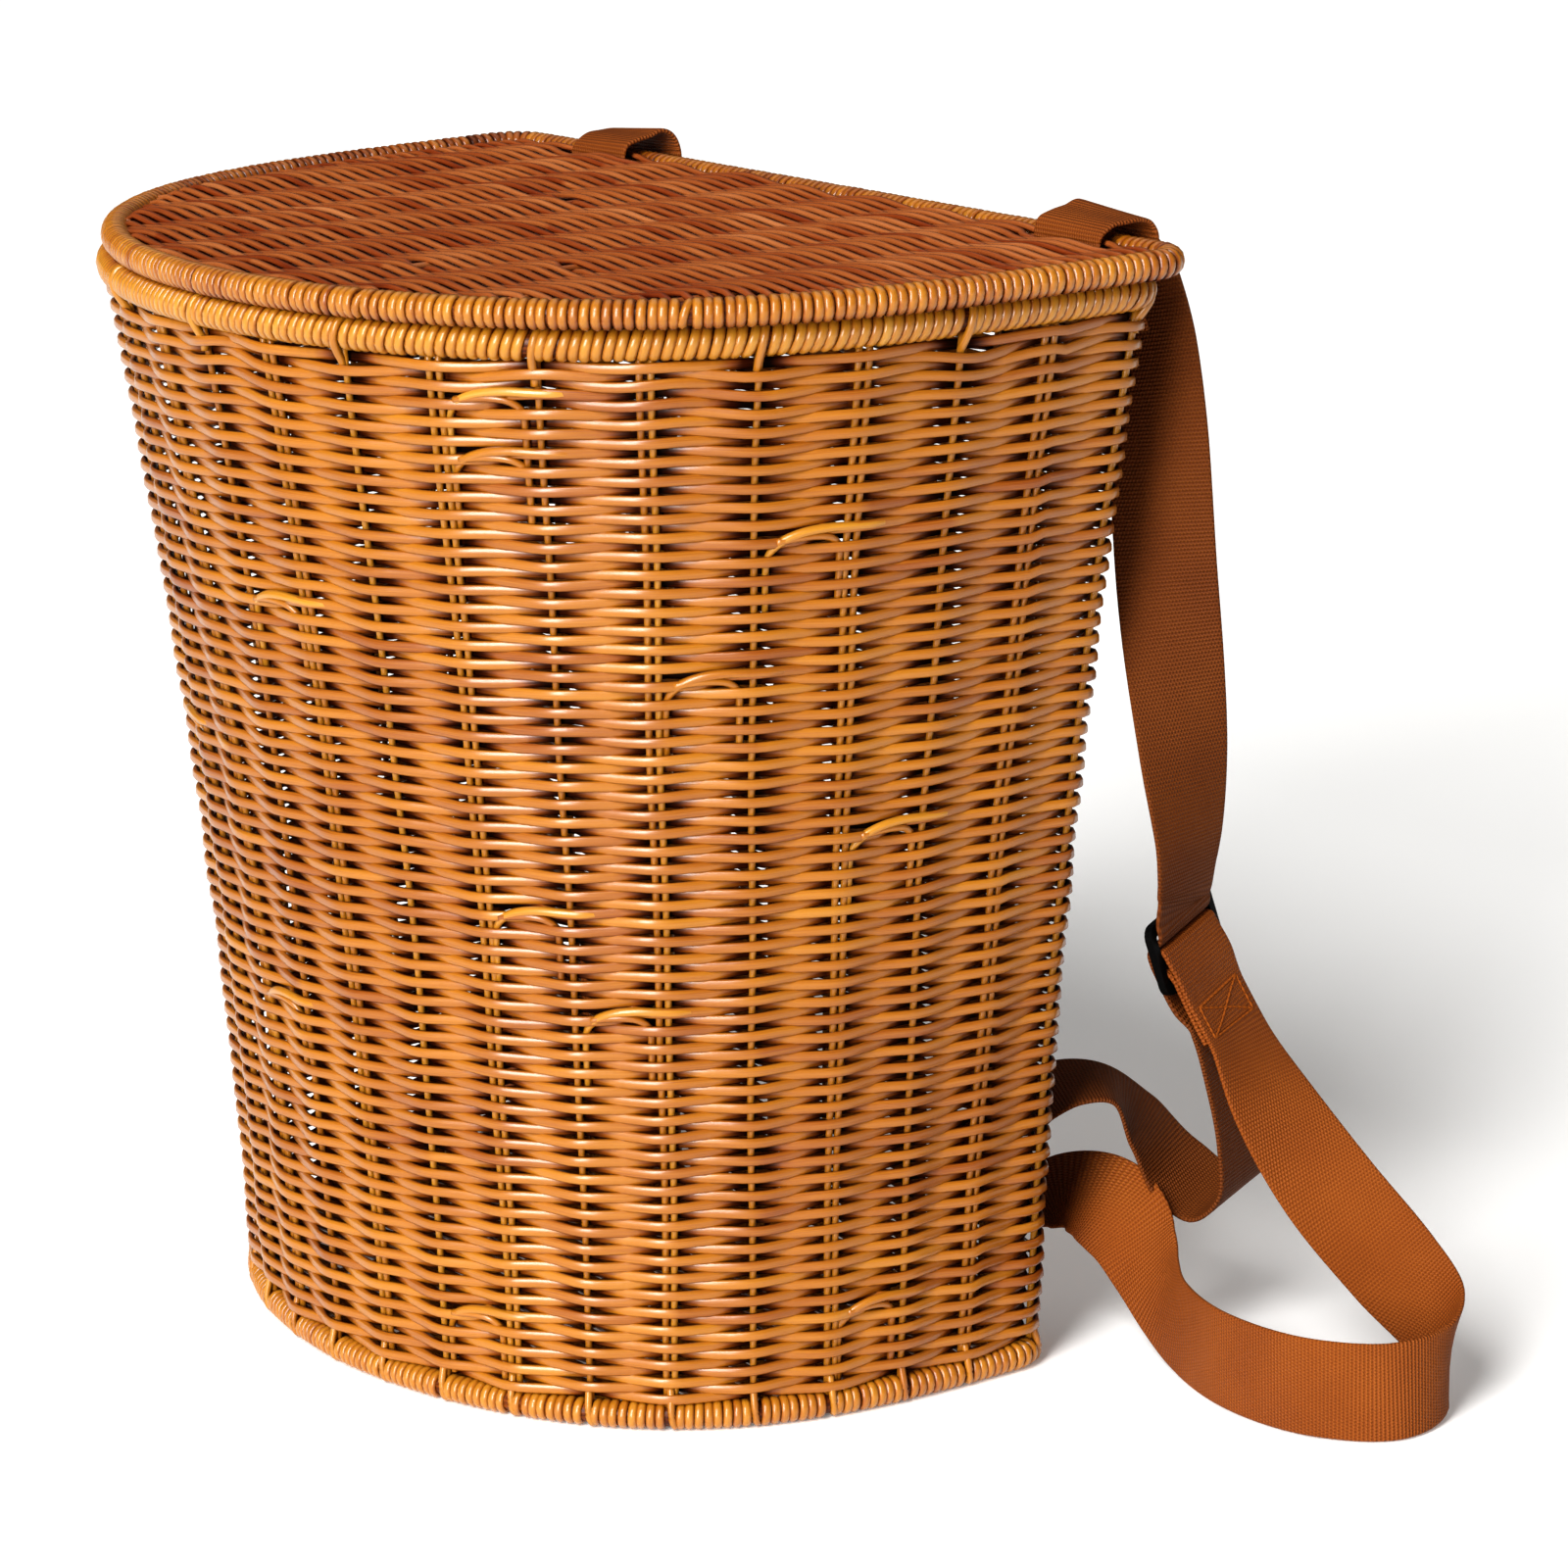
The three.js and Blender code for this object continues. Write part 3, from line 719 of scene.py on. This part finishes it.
footRim = {
    "size": foot, "height": footHeight, "radius": 4.55 * mm, "wrap": 1.5 * mm, "pitch": 2.95 * mm,
    "slant": 3, "steps": 12, "tone": 0.62, "sideShade": 0.26, "backShade": 0.0, "seamSide": 0,
    "breaks": footPlaces, "breakGap": 1.4 * mm,
    "endRadius": 1.25 * mm, "endTone": 0.62, "endFlare": 0.0,
    "endRows": [(0.2, 1.4, 10), (0.1, 2.4, 6), (0, 3.3, 2.4), (-0.3, 3.3, -1.2), (-0.8, 2.0, -2.9),
                (-1.0, 0, -3.2)],
}
lidRim = {
    "size": lidEdge, "height": lidHeight, "radius": 4.8 * mm, "wrap": 1.62 * mm, "pitch": 3.21 * mm,
    "slant": 3, "steps": 14, "tone": 0.56, "sideShade": 0.26, "backShade": 0.1, "seamSide": -1,
    "breaks": np.array([157, 259.6]) * mm, "breakGap": 1.7 * mm,
    "endRadius": 1.45 * mm, "endTone": 0.5, "endFlare": 0.0,
    "endRows": [(1.3, 1.4, -3.0), (1.1, 2.9, -1.8), (0.6, 3.3, 0.2), (-0.2, 2.6, 2.1), (-1.0, 0.8, 3.2),
                (-1.4, -1.2, 3.0)],
}
for name, rim, body, node in (("topRimWraps", topRim, "basket", "top_rim"),
                              ("footRimWraps", footRim, "basket", "foot_rim"),
                              ("lidRimWraps", lidRim, "lid", "lid_rim")):
    crossing = stakeEnds(rim)
    makePiece(name, wrappedRim(rim) + [crossing], honeyWillow, body, [node])


# flat woven panels: rods along the back edge, in and out of stakes that run from front to back
panelRods = {
    "shortestHalf": 6 * mm, "endEase": 9 * mm, "straighten": 0.11, "toneSpread": 0.09, "endMargin": 10,
    "unshadedRidge": 0.8, "stakesEachSide": 8, "stakeInset": 14 * mm, "stakeSteps": 24, "stakePaler": 0.1,
    "stakeToneSpread": 0.1,
}


def panelHalf(size, y, inset):
    cornerY = size["back"] - corner
    share = np.clip((cornerY - y) / (size["depth"] - corner), 0, 1)
    sine = share ** (deepPower / 2)
    front = size["halfWidth"] * np.sqrt(np.maximum(1 - sine * sine, 0)) ** (2 / acrossPower)
    back = size["halfWidth"] - corner + np.sqrt(np.maximum(corner ** 2 - (y - cornerY) ** 2, 0))
    return np.maximum(np.where(y < cornerY, front, back) - inset, panelRods["shortestHalf"])


def panelWeave(panel):
    size, inset = panel["size"], panel["inset"]
    front = size["back"] - size["depth"] + inset
    y = np.arange(front + panel["pitch"], size["back"] - panel["backInset"], panel["pitch"])
    half = panelHalf(size, y, inset)
    share = np.linspace(-1, 1, panel["steps"])
    x = size["shift"] + half[:, None] * share[None]
    rows = np.arange(len(y))[:, None]
    yRod = y[:, None] + panel["sway"] * wander(x, y[:, None] * 2.5, waves=5, longest=0.2, shortest=0.04)
    for slitX in panel["slits"]:
        yRod = parted(yRod, size["back"] - panel["slitBack"], x - slitX, panel["slit"])
    turn = np.pi * ((x - panel["firstStake"]) / panel["stakePitch"] + rows)
    bend = panelRods["straighten"]  # nearly straight from stake to stake
    swing = (np.cos(turn) + bend * np.cos(3 * turn)) / (1 + bend)
    clear = np.clip((half[:, None] - np.abs(x - size["shift"])) / panelRods["endEase"], 0, 1)
    z = panel["height"] + panel["waveDepth"] * swing * clear
    z = z + panel["rise"] * wander(x, yRod * 3, waves=3, longest=0.3, shortest=0.1)
    z = z - panel["endDrop"] * (1 - clear)
    tones = np.broadcast_to(rodTones(len(y), panel["tone"], panelRods["toneSpread"]), x.shape).copy()
    for row in range(len(y)):  # each row is laid with two rods
        cut = dice.integers(panelRods["endMargin"], panel["steps"] - panelRods["endMargin"])
        tones[row, cut:] = rodTones(1, panel["tone"], panelRods["toneSpread"])[0, 0]
    depth = swing.copy()
    # a rod that ends leaves a small hole, beside the paler end of the next
    for gapX, gapY in panel["gaps"]:
        row = np.abs(y - gapY * mm).argmin()
        sunk = np.clip(1.5 - np.abs(x[row] - gapX * mm) / panel["gapHalf"], 0, 1)
        z[row] -= panel["gapDrop"] * sunk
        depth[row] -= 2 * sunk
        near = np.clip(2 - np.abs(x[row + 1] - gapX * mm) / panel["gapHalf"] / 2, 0, 1)
        tones[row + 1] += panel["gapPaler"] * near
    # painted shade on the rods' edges, but none on the ridges over the stakes
    edgeShade = panel["sideShade"] * np.clip(panelRods["unshadedRidge"] - swing, 0, 1)
    rods = sweep(np.stack([x, yRod, z], -1), (0, 1, 0), panel["rodHalf"], flat=panel["flat"],
                 tone=tones, depth=depth, sideShade=edgeShade)
    reachStakes = panelRods["stakesEachSide"]
    stakeX = panel["firstStake"] + panel["stakePitch"] * np.arange(-reachStakes, reachStakes + 1)
    stakeX = stakeX[np.abs(stakeX - size["shift"]) < size["halfWidth"] - panelRods["stakeInset"]]
    fine = np.linspace(front, size["back"] - corner, 400)
    edge = panelHalf(size, fine, inset)
    crossPaths = []
    for sx in stakeX:
        reach = fine[edge > abs(sx - size["shift"])]
        run = np.linspace(reach[0], size["back"] - inset, panelRods["stakeSteps"])
        level = np.full_like(run, panel["height"])
        crossPaths.append(np.stack([np.full_like(run, sx), run, level], -1))
    crossTones = rodTones(len(stakeX), panel["tone"] + panelRods["stakePaler"],
                          panelRods["stakeToneSpread"])
    return [rods, sweep(np.array(crossPaths), upwards, panel["stakeRadius"], tone=crossTones)]


lidPanel = {
    "size": lidEdge, "inset": 2.4 * mm, "height": lidHeight + 2.2 * mm, "pitch": 2.755 * mm,
    "steps": 100, "stakePitch": 36.6 * mm, "firstStake": 7.5 * mm, "waveDepth": 1.75 * mm,
    "rodHalf": 1.34 * mm, "stakeRadius": 1.15 * mm, "sway": 0.3 * mm, "rise": 0.25 * mm, "tone": 0.5,
    "endDrop": 1.8 * mm, "backInset": 5.2 * mm, "flat": 0.8, "sideShade": 0.22,
    "gaps": [(46, -68), (83, -38), (-30, 35), (53, 56)],  # in millimetres
    "gapHalf": 5 * mm, "gapDrop": 2.4 * mm, "gapPaler": 0.2,
    "slits": (rightLoop, leftLoop), "slitBack": 11.6 * mm,
    "slit": {"open": 2.6 * mm, "past": 7 * mm, "ease": 6 * mm, "fade": 7 * mm},
}
makePiece("lidWeave", panelWeave(lidPanel), russetWillow, "lid", ["lid_panel"])

basePanel = {
    "size": foot, "inset": 3.0 * mm, "height": 3.2 * mm, "pitch": 3.1 * mm, "steps": 72,
    "stakePitch": 33 * mm, "firstStake": 0.0, "waveDepth": 1.55 * mm, "rodHalf": 1.4 * mm,
    "stakeRadius": 1.2 * mm, "sway": 0.25 * mm, "rise": 0.0, "tone": 0.52, "endDrop": 0.0,
    "backInset": 3.0 * mm, "flat": 1.0, "sideShade": 0.0, "gaps": (), "slits": (),
}
makePiece("baseWeave", panelWeave(basePanel), honeyWillow, "basket", ["base_panel"])

# webbing straps: the right one's rows in millimetres, with the direction across the webbing
hinge = (lidEdge["back"] / mm, lidHeight / mm)  # the middle of the lid's back rim
tailRows = [(7.2, -25.6), (5.3, -21.4), (-4, -20.2), (-10.4, -17.5), (-11.2, -9)]
# back and up from the hinge, and how far the webbing leans: square over the lid, then down behind
loopRows = [(-11.6, -1, 0), (-11.4, 4, 0.03), (-9.8, 6.9, 0.06), (-5.5, 8.8, 0.03), (0.2, 9.5, 0.05),
            (4.8, 10.2, 0.09), (8.8, 8.7, 0.07), (11.2, 5.0, 0.04), (11.8, 0, 0)]
hangingRows = [
    (152, 127.5, 347, 0.95, 0.3, 0), (154.5, 129, 331, 0.87, 0.48, 0),
    (158.5, 129.3, 303, 0.77, 0.64, 0), (162, 130, 252, 0.62, 0.79, 0),
    (167.5, 131.5, 199, 0.15, 0.98, 0), (168.7, 132.5, 172, -0.17, 0.98, 0.07),
    (168, 132.5, 163, -0.24, 0.96, 0.1), (166.8, 132.2, 153.5, -0.31, 0.94, 0.13),
]
sliderPlace = np.array([165.5, 133, 137])
sliderAcross = unit(np.array([-0.37, 0.91, 0.17]))
sliderDown = np.array([0.14, 0.2, -0.97])
sliderDown = unit(sliderDown - sliderAcross * (sliderDown @ sliderAcross))
sliderFace = np.cross(sliderDown, sliderAcross)
overSlider = [(-10.5, 2.5), (-7.0, 2.1), (-4.8, 0.4), (-4.2, -2.0), (-2, -3.7), (1.5, -3.9), (6, -3.2),
              (11, -2.4), (18, -1.0)]
returnRows = [
    (170.5, 141, 112, -0.33, 0.93, 0.1), (173, 146, 92, -0.33, 0.93, 0.1),
    (174.5, 149, 71, -0.34, 0.93, 0.05), (172.5, 150, 53.5, -0.35, 0.93, 0.08),
    (161.5, 147.5, 46.5, -0.35, 0.9, 0.25), (149, 142, 54.5, -0.45, 0.78, 0.4),
    (141, 135, 69.5, -0.62, 0.7, 0.32), (135, 126, 82.5, -0.83, 0.5, 0.12),
    (129.5, 114, 84.5, -0.92, 0.35, 0.15), (124.5, 103, 80, -0.97, 0.2, 0.1),
]
anchorRows = [(93.5, 74), (85.6, 74), (82.2, 70), (81.5, 58), (81.5, 46), (85, 42), (92, 42)]
floorRows = [
    (123, 102, 44, -0.95, 0.2, 0.2), (128.5, 112, 47.5, -0.7, 0.45, 0.5),
    (138, 118.5, 46.5, -0.25, 0.65, 0.7), (149, 121, 40, 0.3, 0.5, 0.8),
    (158.5, 120.5, 31, 0.5, 0.28, 0.82), (170, 117.5, 22.5, 0.4, 0.1, 0.91),
    (186, 112.3, 17.2, 0.12, 0.02, 0.99), (219.4, 104.6, 16.4, 0, 0, 1),
    (253.4, 110, 16.4, 0, 0, 1), (272.5, 128.5, 16.4, 0, 0, 1),
    (270.5, 149.5, 18.2, 0.12, -0.08, 0.98), (255.5, 159.5, 27, 0.45, 0.2, 0.87),
    (236, 158, 41, 0.42, 0.58, 0.7), (213, 152.5, 61, 0.2, 0.8, 0.57),
    (193, 147.5, 84, -0.1, 0.92, 0.36),
]
# round the slider's middle bar and back on itself
sewnRows = [(33, 9.0), (18, 5.6), (9, 4.6), (3, 3.0), (0, 2.2), (-1.9, 1.6), (-2.65, 0), (-1.9, -1.6),
            (0, -2.2), (2, -2.0), (3.8, -0.6), (5.6, 1.4), (8, 2.7), (13, 3.5), (22, 4.6), (31, 6.7)]
foldRow = 4  # the sewn row at which the webbing reaches the bar
webbing = {
    "half": webbingHalf / mm, "thick": 0.8, "stepsPerRow": 9,
    # pressed wider in the slider: by how much, and how far from its middle that ends and eases
    "pressed": 0.95, "pressedEnd": 22, "pressedEase": 10,
    # painted shadow: the run that hangs behind the basket is darkened as if in its shadow, the anchored
    # run a little less, and the floor run is painted a little lighter than the loops over the lid
    "loopTone": 1.0, "hangingShadow": 0.63, "anchoredShadow": 0.75, "floorLight": 1.12,
    # half of the section, from one edge over the face to the other edge: across and out
    "section": [(1.0, 0.0), (0.99, 0.62), (0.955, 0.95), (0.88, 1.0), (0.6, 1.0), (0.3, 1.0),
                (0.0, 1.0), (-0.3, 1.0), (-0.6, 1.0), (-0.88, 1.0), (-0.955, 0.95), (-0.99, 0.62)],
}


def besideSlider(rows):
    return [tuple(sliderPlace + sliderDown * d + sliderFace * o) + tuple(sliderAcross) for d, o in rows]


def strapRows():
    loopX = rightLoop / mm
    rows = [(loopX, hinge[0] + y, hinge[1] + z, 1, 0, 0) for y, z in tailRows]
    rows += [(loopX, hinge[0] + y, hinge[1] + z, 1, 0, -lean) for y, z, lean in loopRows]
    rows += hangingRows + besideSlider(overSlider) + returnRows
    rows += [(anchors["x"] / mm, y, z, -1, 0, 0) for y, z in anchorRows]
    rows += floorRows + besideSlider(sewnRows)
    return np.array(rows)


# the same rounded curve through the rows as the solids have
def centripetal(rows, perRow):
    t, a, b, c, d = fourRows(rows, (len(rows) - 1) * perRow + 1)
    ab, bc, cd = [np.sqrt(np.maximum(np.linalg.norm(v, axis=1, keepdims=True), 1e-4))
                  for v in (b - a, c - b, d - c)]
    leave = ((b - a) / ab - (c - a) / (ab + bc) + (c - b) / bc) * bc
    reach = ((c - b) / bc - (d - b) / (bc + cd) + (d - c) / cd) * bc
    return (b + leave * t + (-3 * b + 3 * c - 2 * leave - reach) * t ** 2
            + (2 * b - 2 * c + leave + reach) * t ** 3)


def strapFrame():
    rows = strapRows()
    middle = centripetal(rows[:, :3], webbing["stepsPerRow"])
    side = centripetal(rows[:, 3:], webbing["stepsPerRow"])
    ahead = unit(np.gradient(middle, axis=0))
    side = unit(side - ahead * np.sum(side * ahead, 1, keepdims=True))
    face = np.cross(ahead, side)
    length = np.concatenate([[0], np.cumsum(np.linalg.norm(np.diff(middle, axis=0), axis=1))])
    return middle, side, face, length


strapMiddle, strapSide, strapOut, strapLength = strapFrame()


def strapShadowTones():
    counts = [(len(tailRows) + len(loopRows), webbing["loopTone"]),
              (len(hangingRows) + len(overSlider) + len(returnRows), webbing["hangingShadow"]),
              (len(anchorRows) + 2, webbing["anchoredShadow"]),
              (len(floorRows) + len(sewnRows) - 2, webbing["floorLight"])]
    rows = np.concatenate([np.full(count, tone) for count, tone in counts])
    return np.interp(np.linspace(0, len(rows) - 1, len(strapLength)), np.arange(len(rows)), rows)


def toLeft(points):
    return points * np.array([-1, 1, 1]) + np.array([mirrorX, 0, 0])


def makeStrap(name, leftHand):
    topHalf = webbing["section"]
    section = np.array(topHalf + [(-s, -o) for s, o in topHalf])
    fromSlider = np.linalg.norm(strapMiddle - sliderPlace, axis=1)
    inSlider = np.clip((webbing["pressedEnd"] - fromSlider) / webbing["pressedEase"], 0, 1)
    half = webbing["half"] + webbing["pressed"] * inSlider
    points = (strapMiddle[:, None] + strapSide[:, None] * section[None, :, :1] * half[:, None, None]
              + strapOut[:, None] * section[None, :, 1:] * webbing["thick"]) * mm
    steps, around = points.shape[:2]
    points = points.reshape(-1, 3)
    index = np.arange(steps * around).reshape(steps, around)
    quads = np.stack([index[:-1], np.roll(index[:-1], -1, 1), np.roll(index[1:], -1, 1), index[1:]], -1)
    faces = [list(f) for f in quads.reshape(-1, 4)] + [list(index[0, ::-1]), list(index[-1])]
    if leftHand:
        points = toLeft(points)
    mesh = bpy.data.meshes.new(name)
    mesh.from_pydata(points.tolist(), [], faces)
    mesh.update()
    flat = mesh.uv_layers.new(name="webbing")
    across = np.tile(section[:, 0] * webbing["half"], steps) * mm
    along = np.repeat(strapLength, around) * mm
    corners = np.zeros(len(mesh.loops), np.int32)
    mesh.loops.foreach_get("vertex_index", corners)
    flat.data.foreach_set("uv", np.stack([across, along], 1)[corners].astype(np.float32).ravel())
    tone = mesh.attributes.new("tone", "FLOAT", "POINT")
    tone.data.foreach_set("value", np.repeat(strapShadowTones(), around).astype(np.float32))
    mesh.shade_smooth()
    mesh.materials.append(brownWebbing)
    piece = addObject(name, mesh)
    normals = piece.modifiers.new("sameWay", "WEIGHTED_NORMAL")
    normals.keep_sharp = True
    return piece


def flipOutwards(piece):
    work = bmesh.new()
    work.from_mesh(piece.data)
    bmesh.ops.recalc_face_normals(work, faces=work.faces)
    work.to_mesh(piece.data)
    work.free()


# lockstitching through the folded end, in a box with a cross, below the slider's middle bar
stitches = {
    "nearest": 19.0, "farthest": 31.0, "half": 12.5, "long": 2.6, "radius": 0.38, "proud": 0.35,
    "sunk": 0.3, "steps": 7, "sides": 5,
}


def strapPoint(length, across, out):
    def at(rows):
        return np.array([np.interp(length, strapLength, rows[:, i]) for i in range(3)])
    return at(strapMiddle) + at(strapSide) * across + at(strapOut) * out


def makeStitches(name, leftHand):
    foldAt = len(strapRows()) - len(sewnRows) + foldRow
    fold = strapLength[foldAt * webbing["stepsPerRow"]]
    near, far = fold - stitches["nearest"], fold - stitches["farthest"]
    half = stitches["half"]
    corners = [(near, -half), (near, half), (far, half), (far, -half)]
    box = list(zip(corners, corners[1:] + corners[:1]))
    cross = [(corners[0], corners[2]), (corners[1], corners[3])]
    runs = []
    for a, b in box + cross:
        marks = np.linspace(a, b, round(math.dist(a, b) / stitches["long"]) + 1)
        runs += list(zip(marks[:-1], marks[1:]))
    share = np.linspace(0, 1, stitches["steps"])
    rise = stitches["proud"] * np.sin(np.pi * share) ** 0.5
    out = -webbing["thick"] - rise + stitches["sunk"]
    paths = []
    for (lengthA, acrossA), (lengthB, acrossB) in runs:
        lengths = lengthA + (lengthB - lengthA) * share
        across = acrossA + (acrossB - acrossA) * share
        paths.append([strapPoint(*point) for point in zip(lengths, across, out)])
    paths = np.array(paths) * mm
    if leftHand:
        paths = toLeft(paths)
    thread = sweep(paths, (1, 0.3, 0.2), stitches["radius"] * mm, stitches["sides"])
    return makePiece(name, [thread], sewingThread, "basket")


sliderEdge = {"width": 0.6 * mm, "segments": 3}
for side in ("right", "left"):
    strap = makeStrap(side + "Strap", side == "left")
    flipOutwards(strap)
    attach(strap, "basket")
    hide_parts(side + "_upper_strap", side + "_lower_strap")
    makeStitches(side + "Stitches", side == "left")
    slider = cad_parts[side + "_slider"]
    slider.data.materials.clear()
    slider.data.materials.append(blackAbs)
    softened = slider.modifiers.new("mouldedEdge", "BEVEL")
    softened.width = sliderEdge["width"]
    softened.segments = sliderEdge["segments"]
    softened.limit_method = "ANGLE"
print("straps ready, each", round(strapLength[-1]), "mm long")

# plain pale floor and soft studio light
studio = {
    "floor": {"colour": "fbfaf8", "glow": 0.13, "roughness": 0.9, "speckScale": 3.0, "reach": 12.0},
    "world": 0.07,
    "aim": (0.02, 0, 0.2),
    "key": {"from": (0.42, -0.87), "heights": (3, 22, 45), "spread": 22, "strength": 1.98},
    "fill": {"place": (2.0, 1.6, 1.0), "size": 2.0, "power": 2.5},
    "top": {"place": (-0.4, 0.6, 2.4), "size": 2.2, "power": 10},
}


def makeFloor():
    material, tree = newMaterial("paleFloor")
    tint = hexLinear(studio["floor"]["colour"])
    dusty = [c * 0.99 for c in tint[:3]] + [1]
    colour = addNode(tree, "ShaderNodeMix", {"data_type": "RGBA", 6: tint, 7: dusty},
                     {"Factor": objectNoise(tree, studio["floor"]["speckScale"])})
    addSurface(tree, {"Roughness": studio["floor"]["roughness"], "Emission Color": tint,
                      "Emission Strength": studio["floor"]["glow"]}, {"Base Color": colour.outputs[2]})
    mesh = bpy.data.meshes.new("floor")
    reach = studio["floor"]["reach"]
    ends = [(-reach, -reach, 0), (reach, -reach, 0), (reach, reach, 0), (-reach, reach, 0)]
    mesh.from_pydata(ends, [], [(0, 1, 2, 3)])
    mesh.materials.append(material)
    addObject("floor", mesh)


def makeLights():
    world = bpy.data.worlds.new("studio")
    scene.world = world
    world.use_nodes = True
    background = world.node_tree.nodes["Background"]
    background.inputs["Color"].default_value = (1, 1, 1, 1)
    background.inputs["Strength"].default_value = studio["world"]
    for height in studio["key"]["heights"]:  # one above another, as a tall window lights it
        key = bpy.data.lights.new("key", "SUN")
        key.angle = math.radians(studio["key"]["spread"])
        key.energy = studio["key"]["strength"]
        lamp = addObject("key", key)
        flat = Vector(studio["key"]["from"]).normalized() * math.cos(math.radians(height))
        toLight = Vector((flat.x, flat.y, math.sin(math.radians(height))))
        lamp.rotation_euler = toLight.to_track_quat("Z", "Y").to_euler()
    for name in ("fill", "top"):
        light = studio[name]
        data = bpy.data.lights.new(name, "AREA")
        data.size = light["size"]
        data.energy = light["power"]
        lamp = addObject(name, data)
        lamp.location = light["place"]
        aim = Vector(studio["aim"]) - Vector(light["place"])
        lamp.rotation_euler = aim.to_track_quat("-Z", "Y").to_euler()


scene.view_settings.view_transform = "Standard"
scene.view_settings.look = "Medium High Contrast"
makeFloor()
makeLights()
print("floor and lights ready")
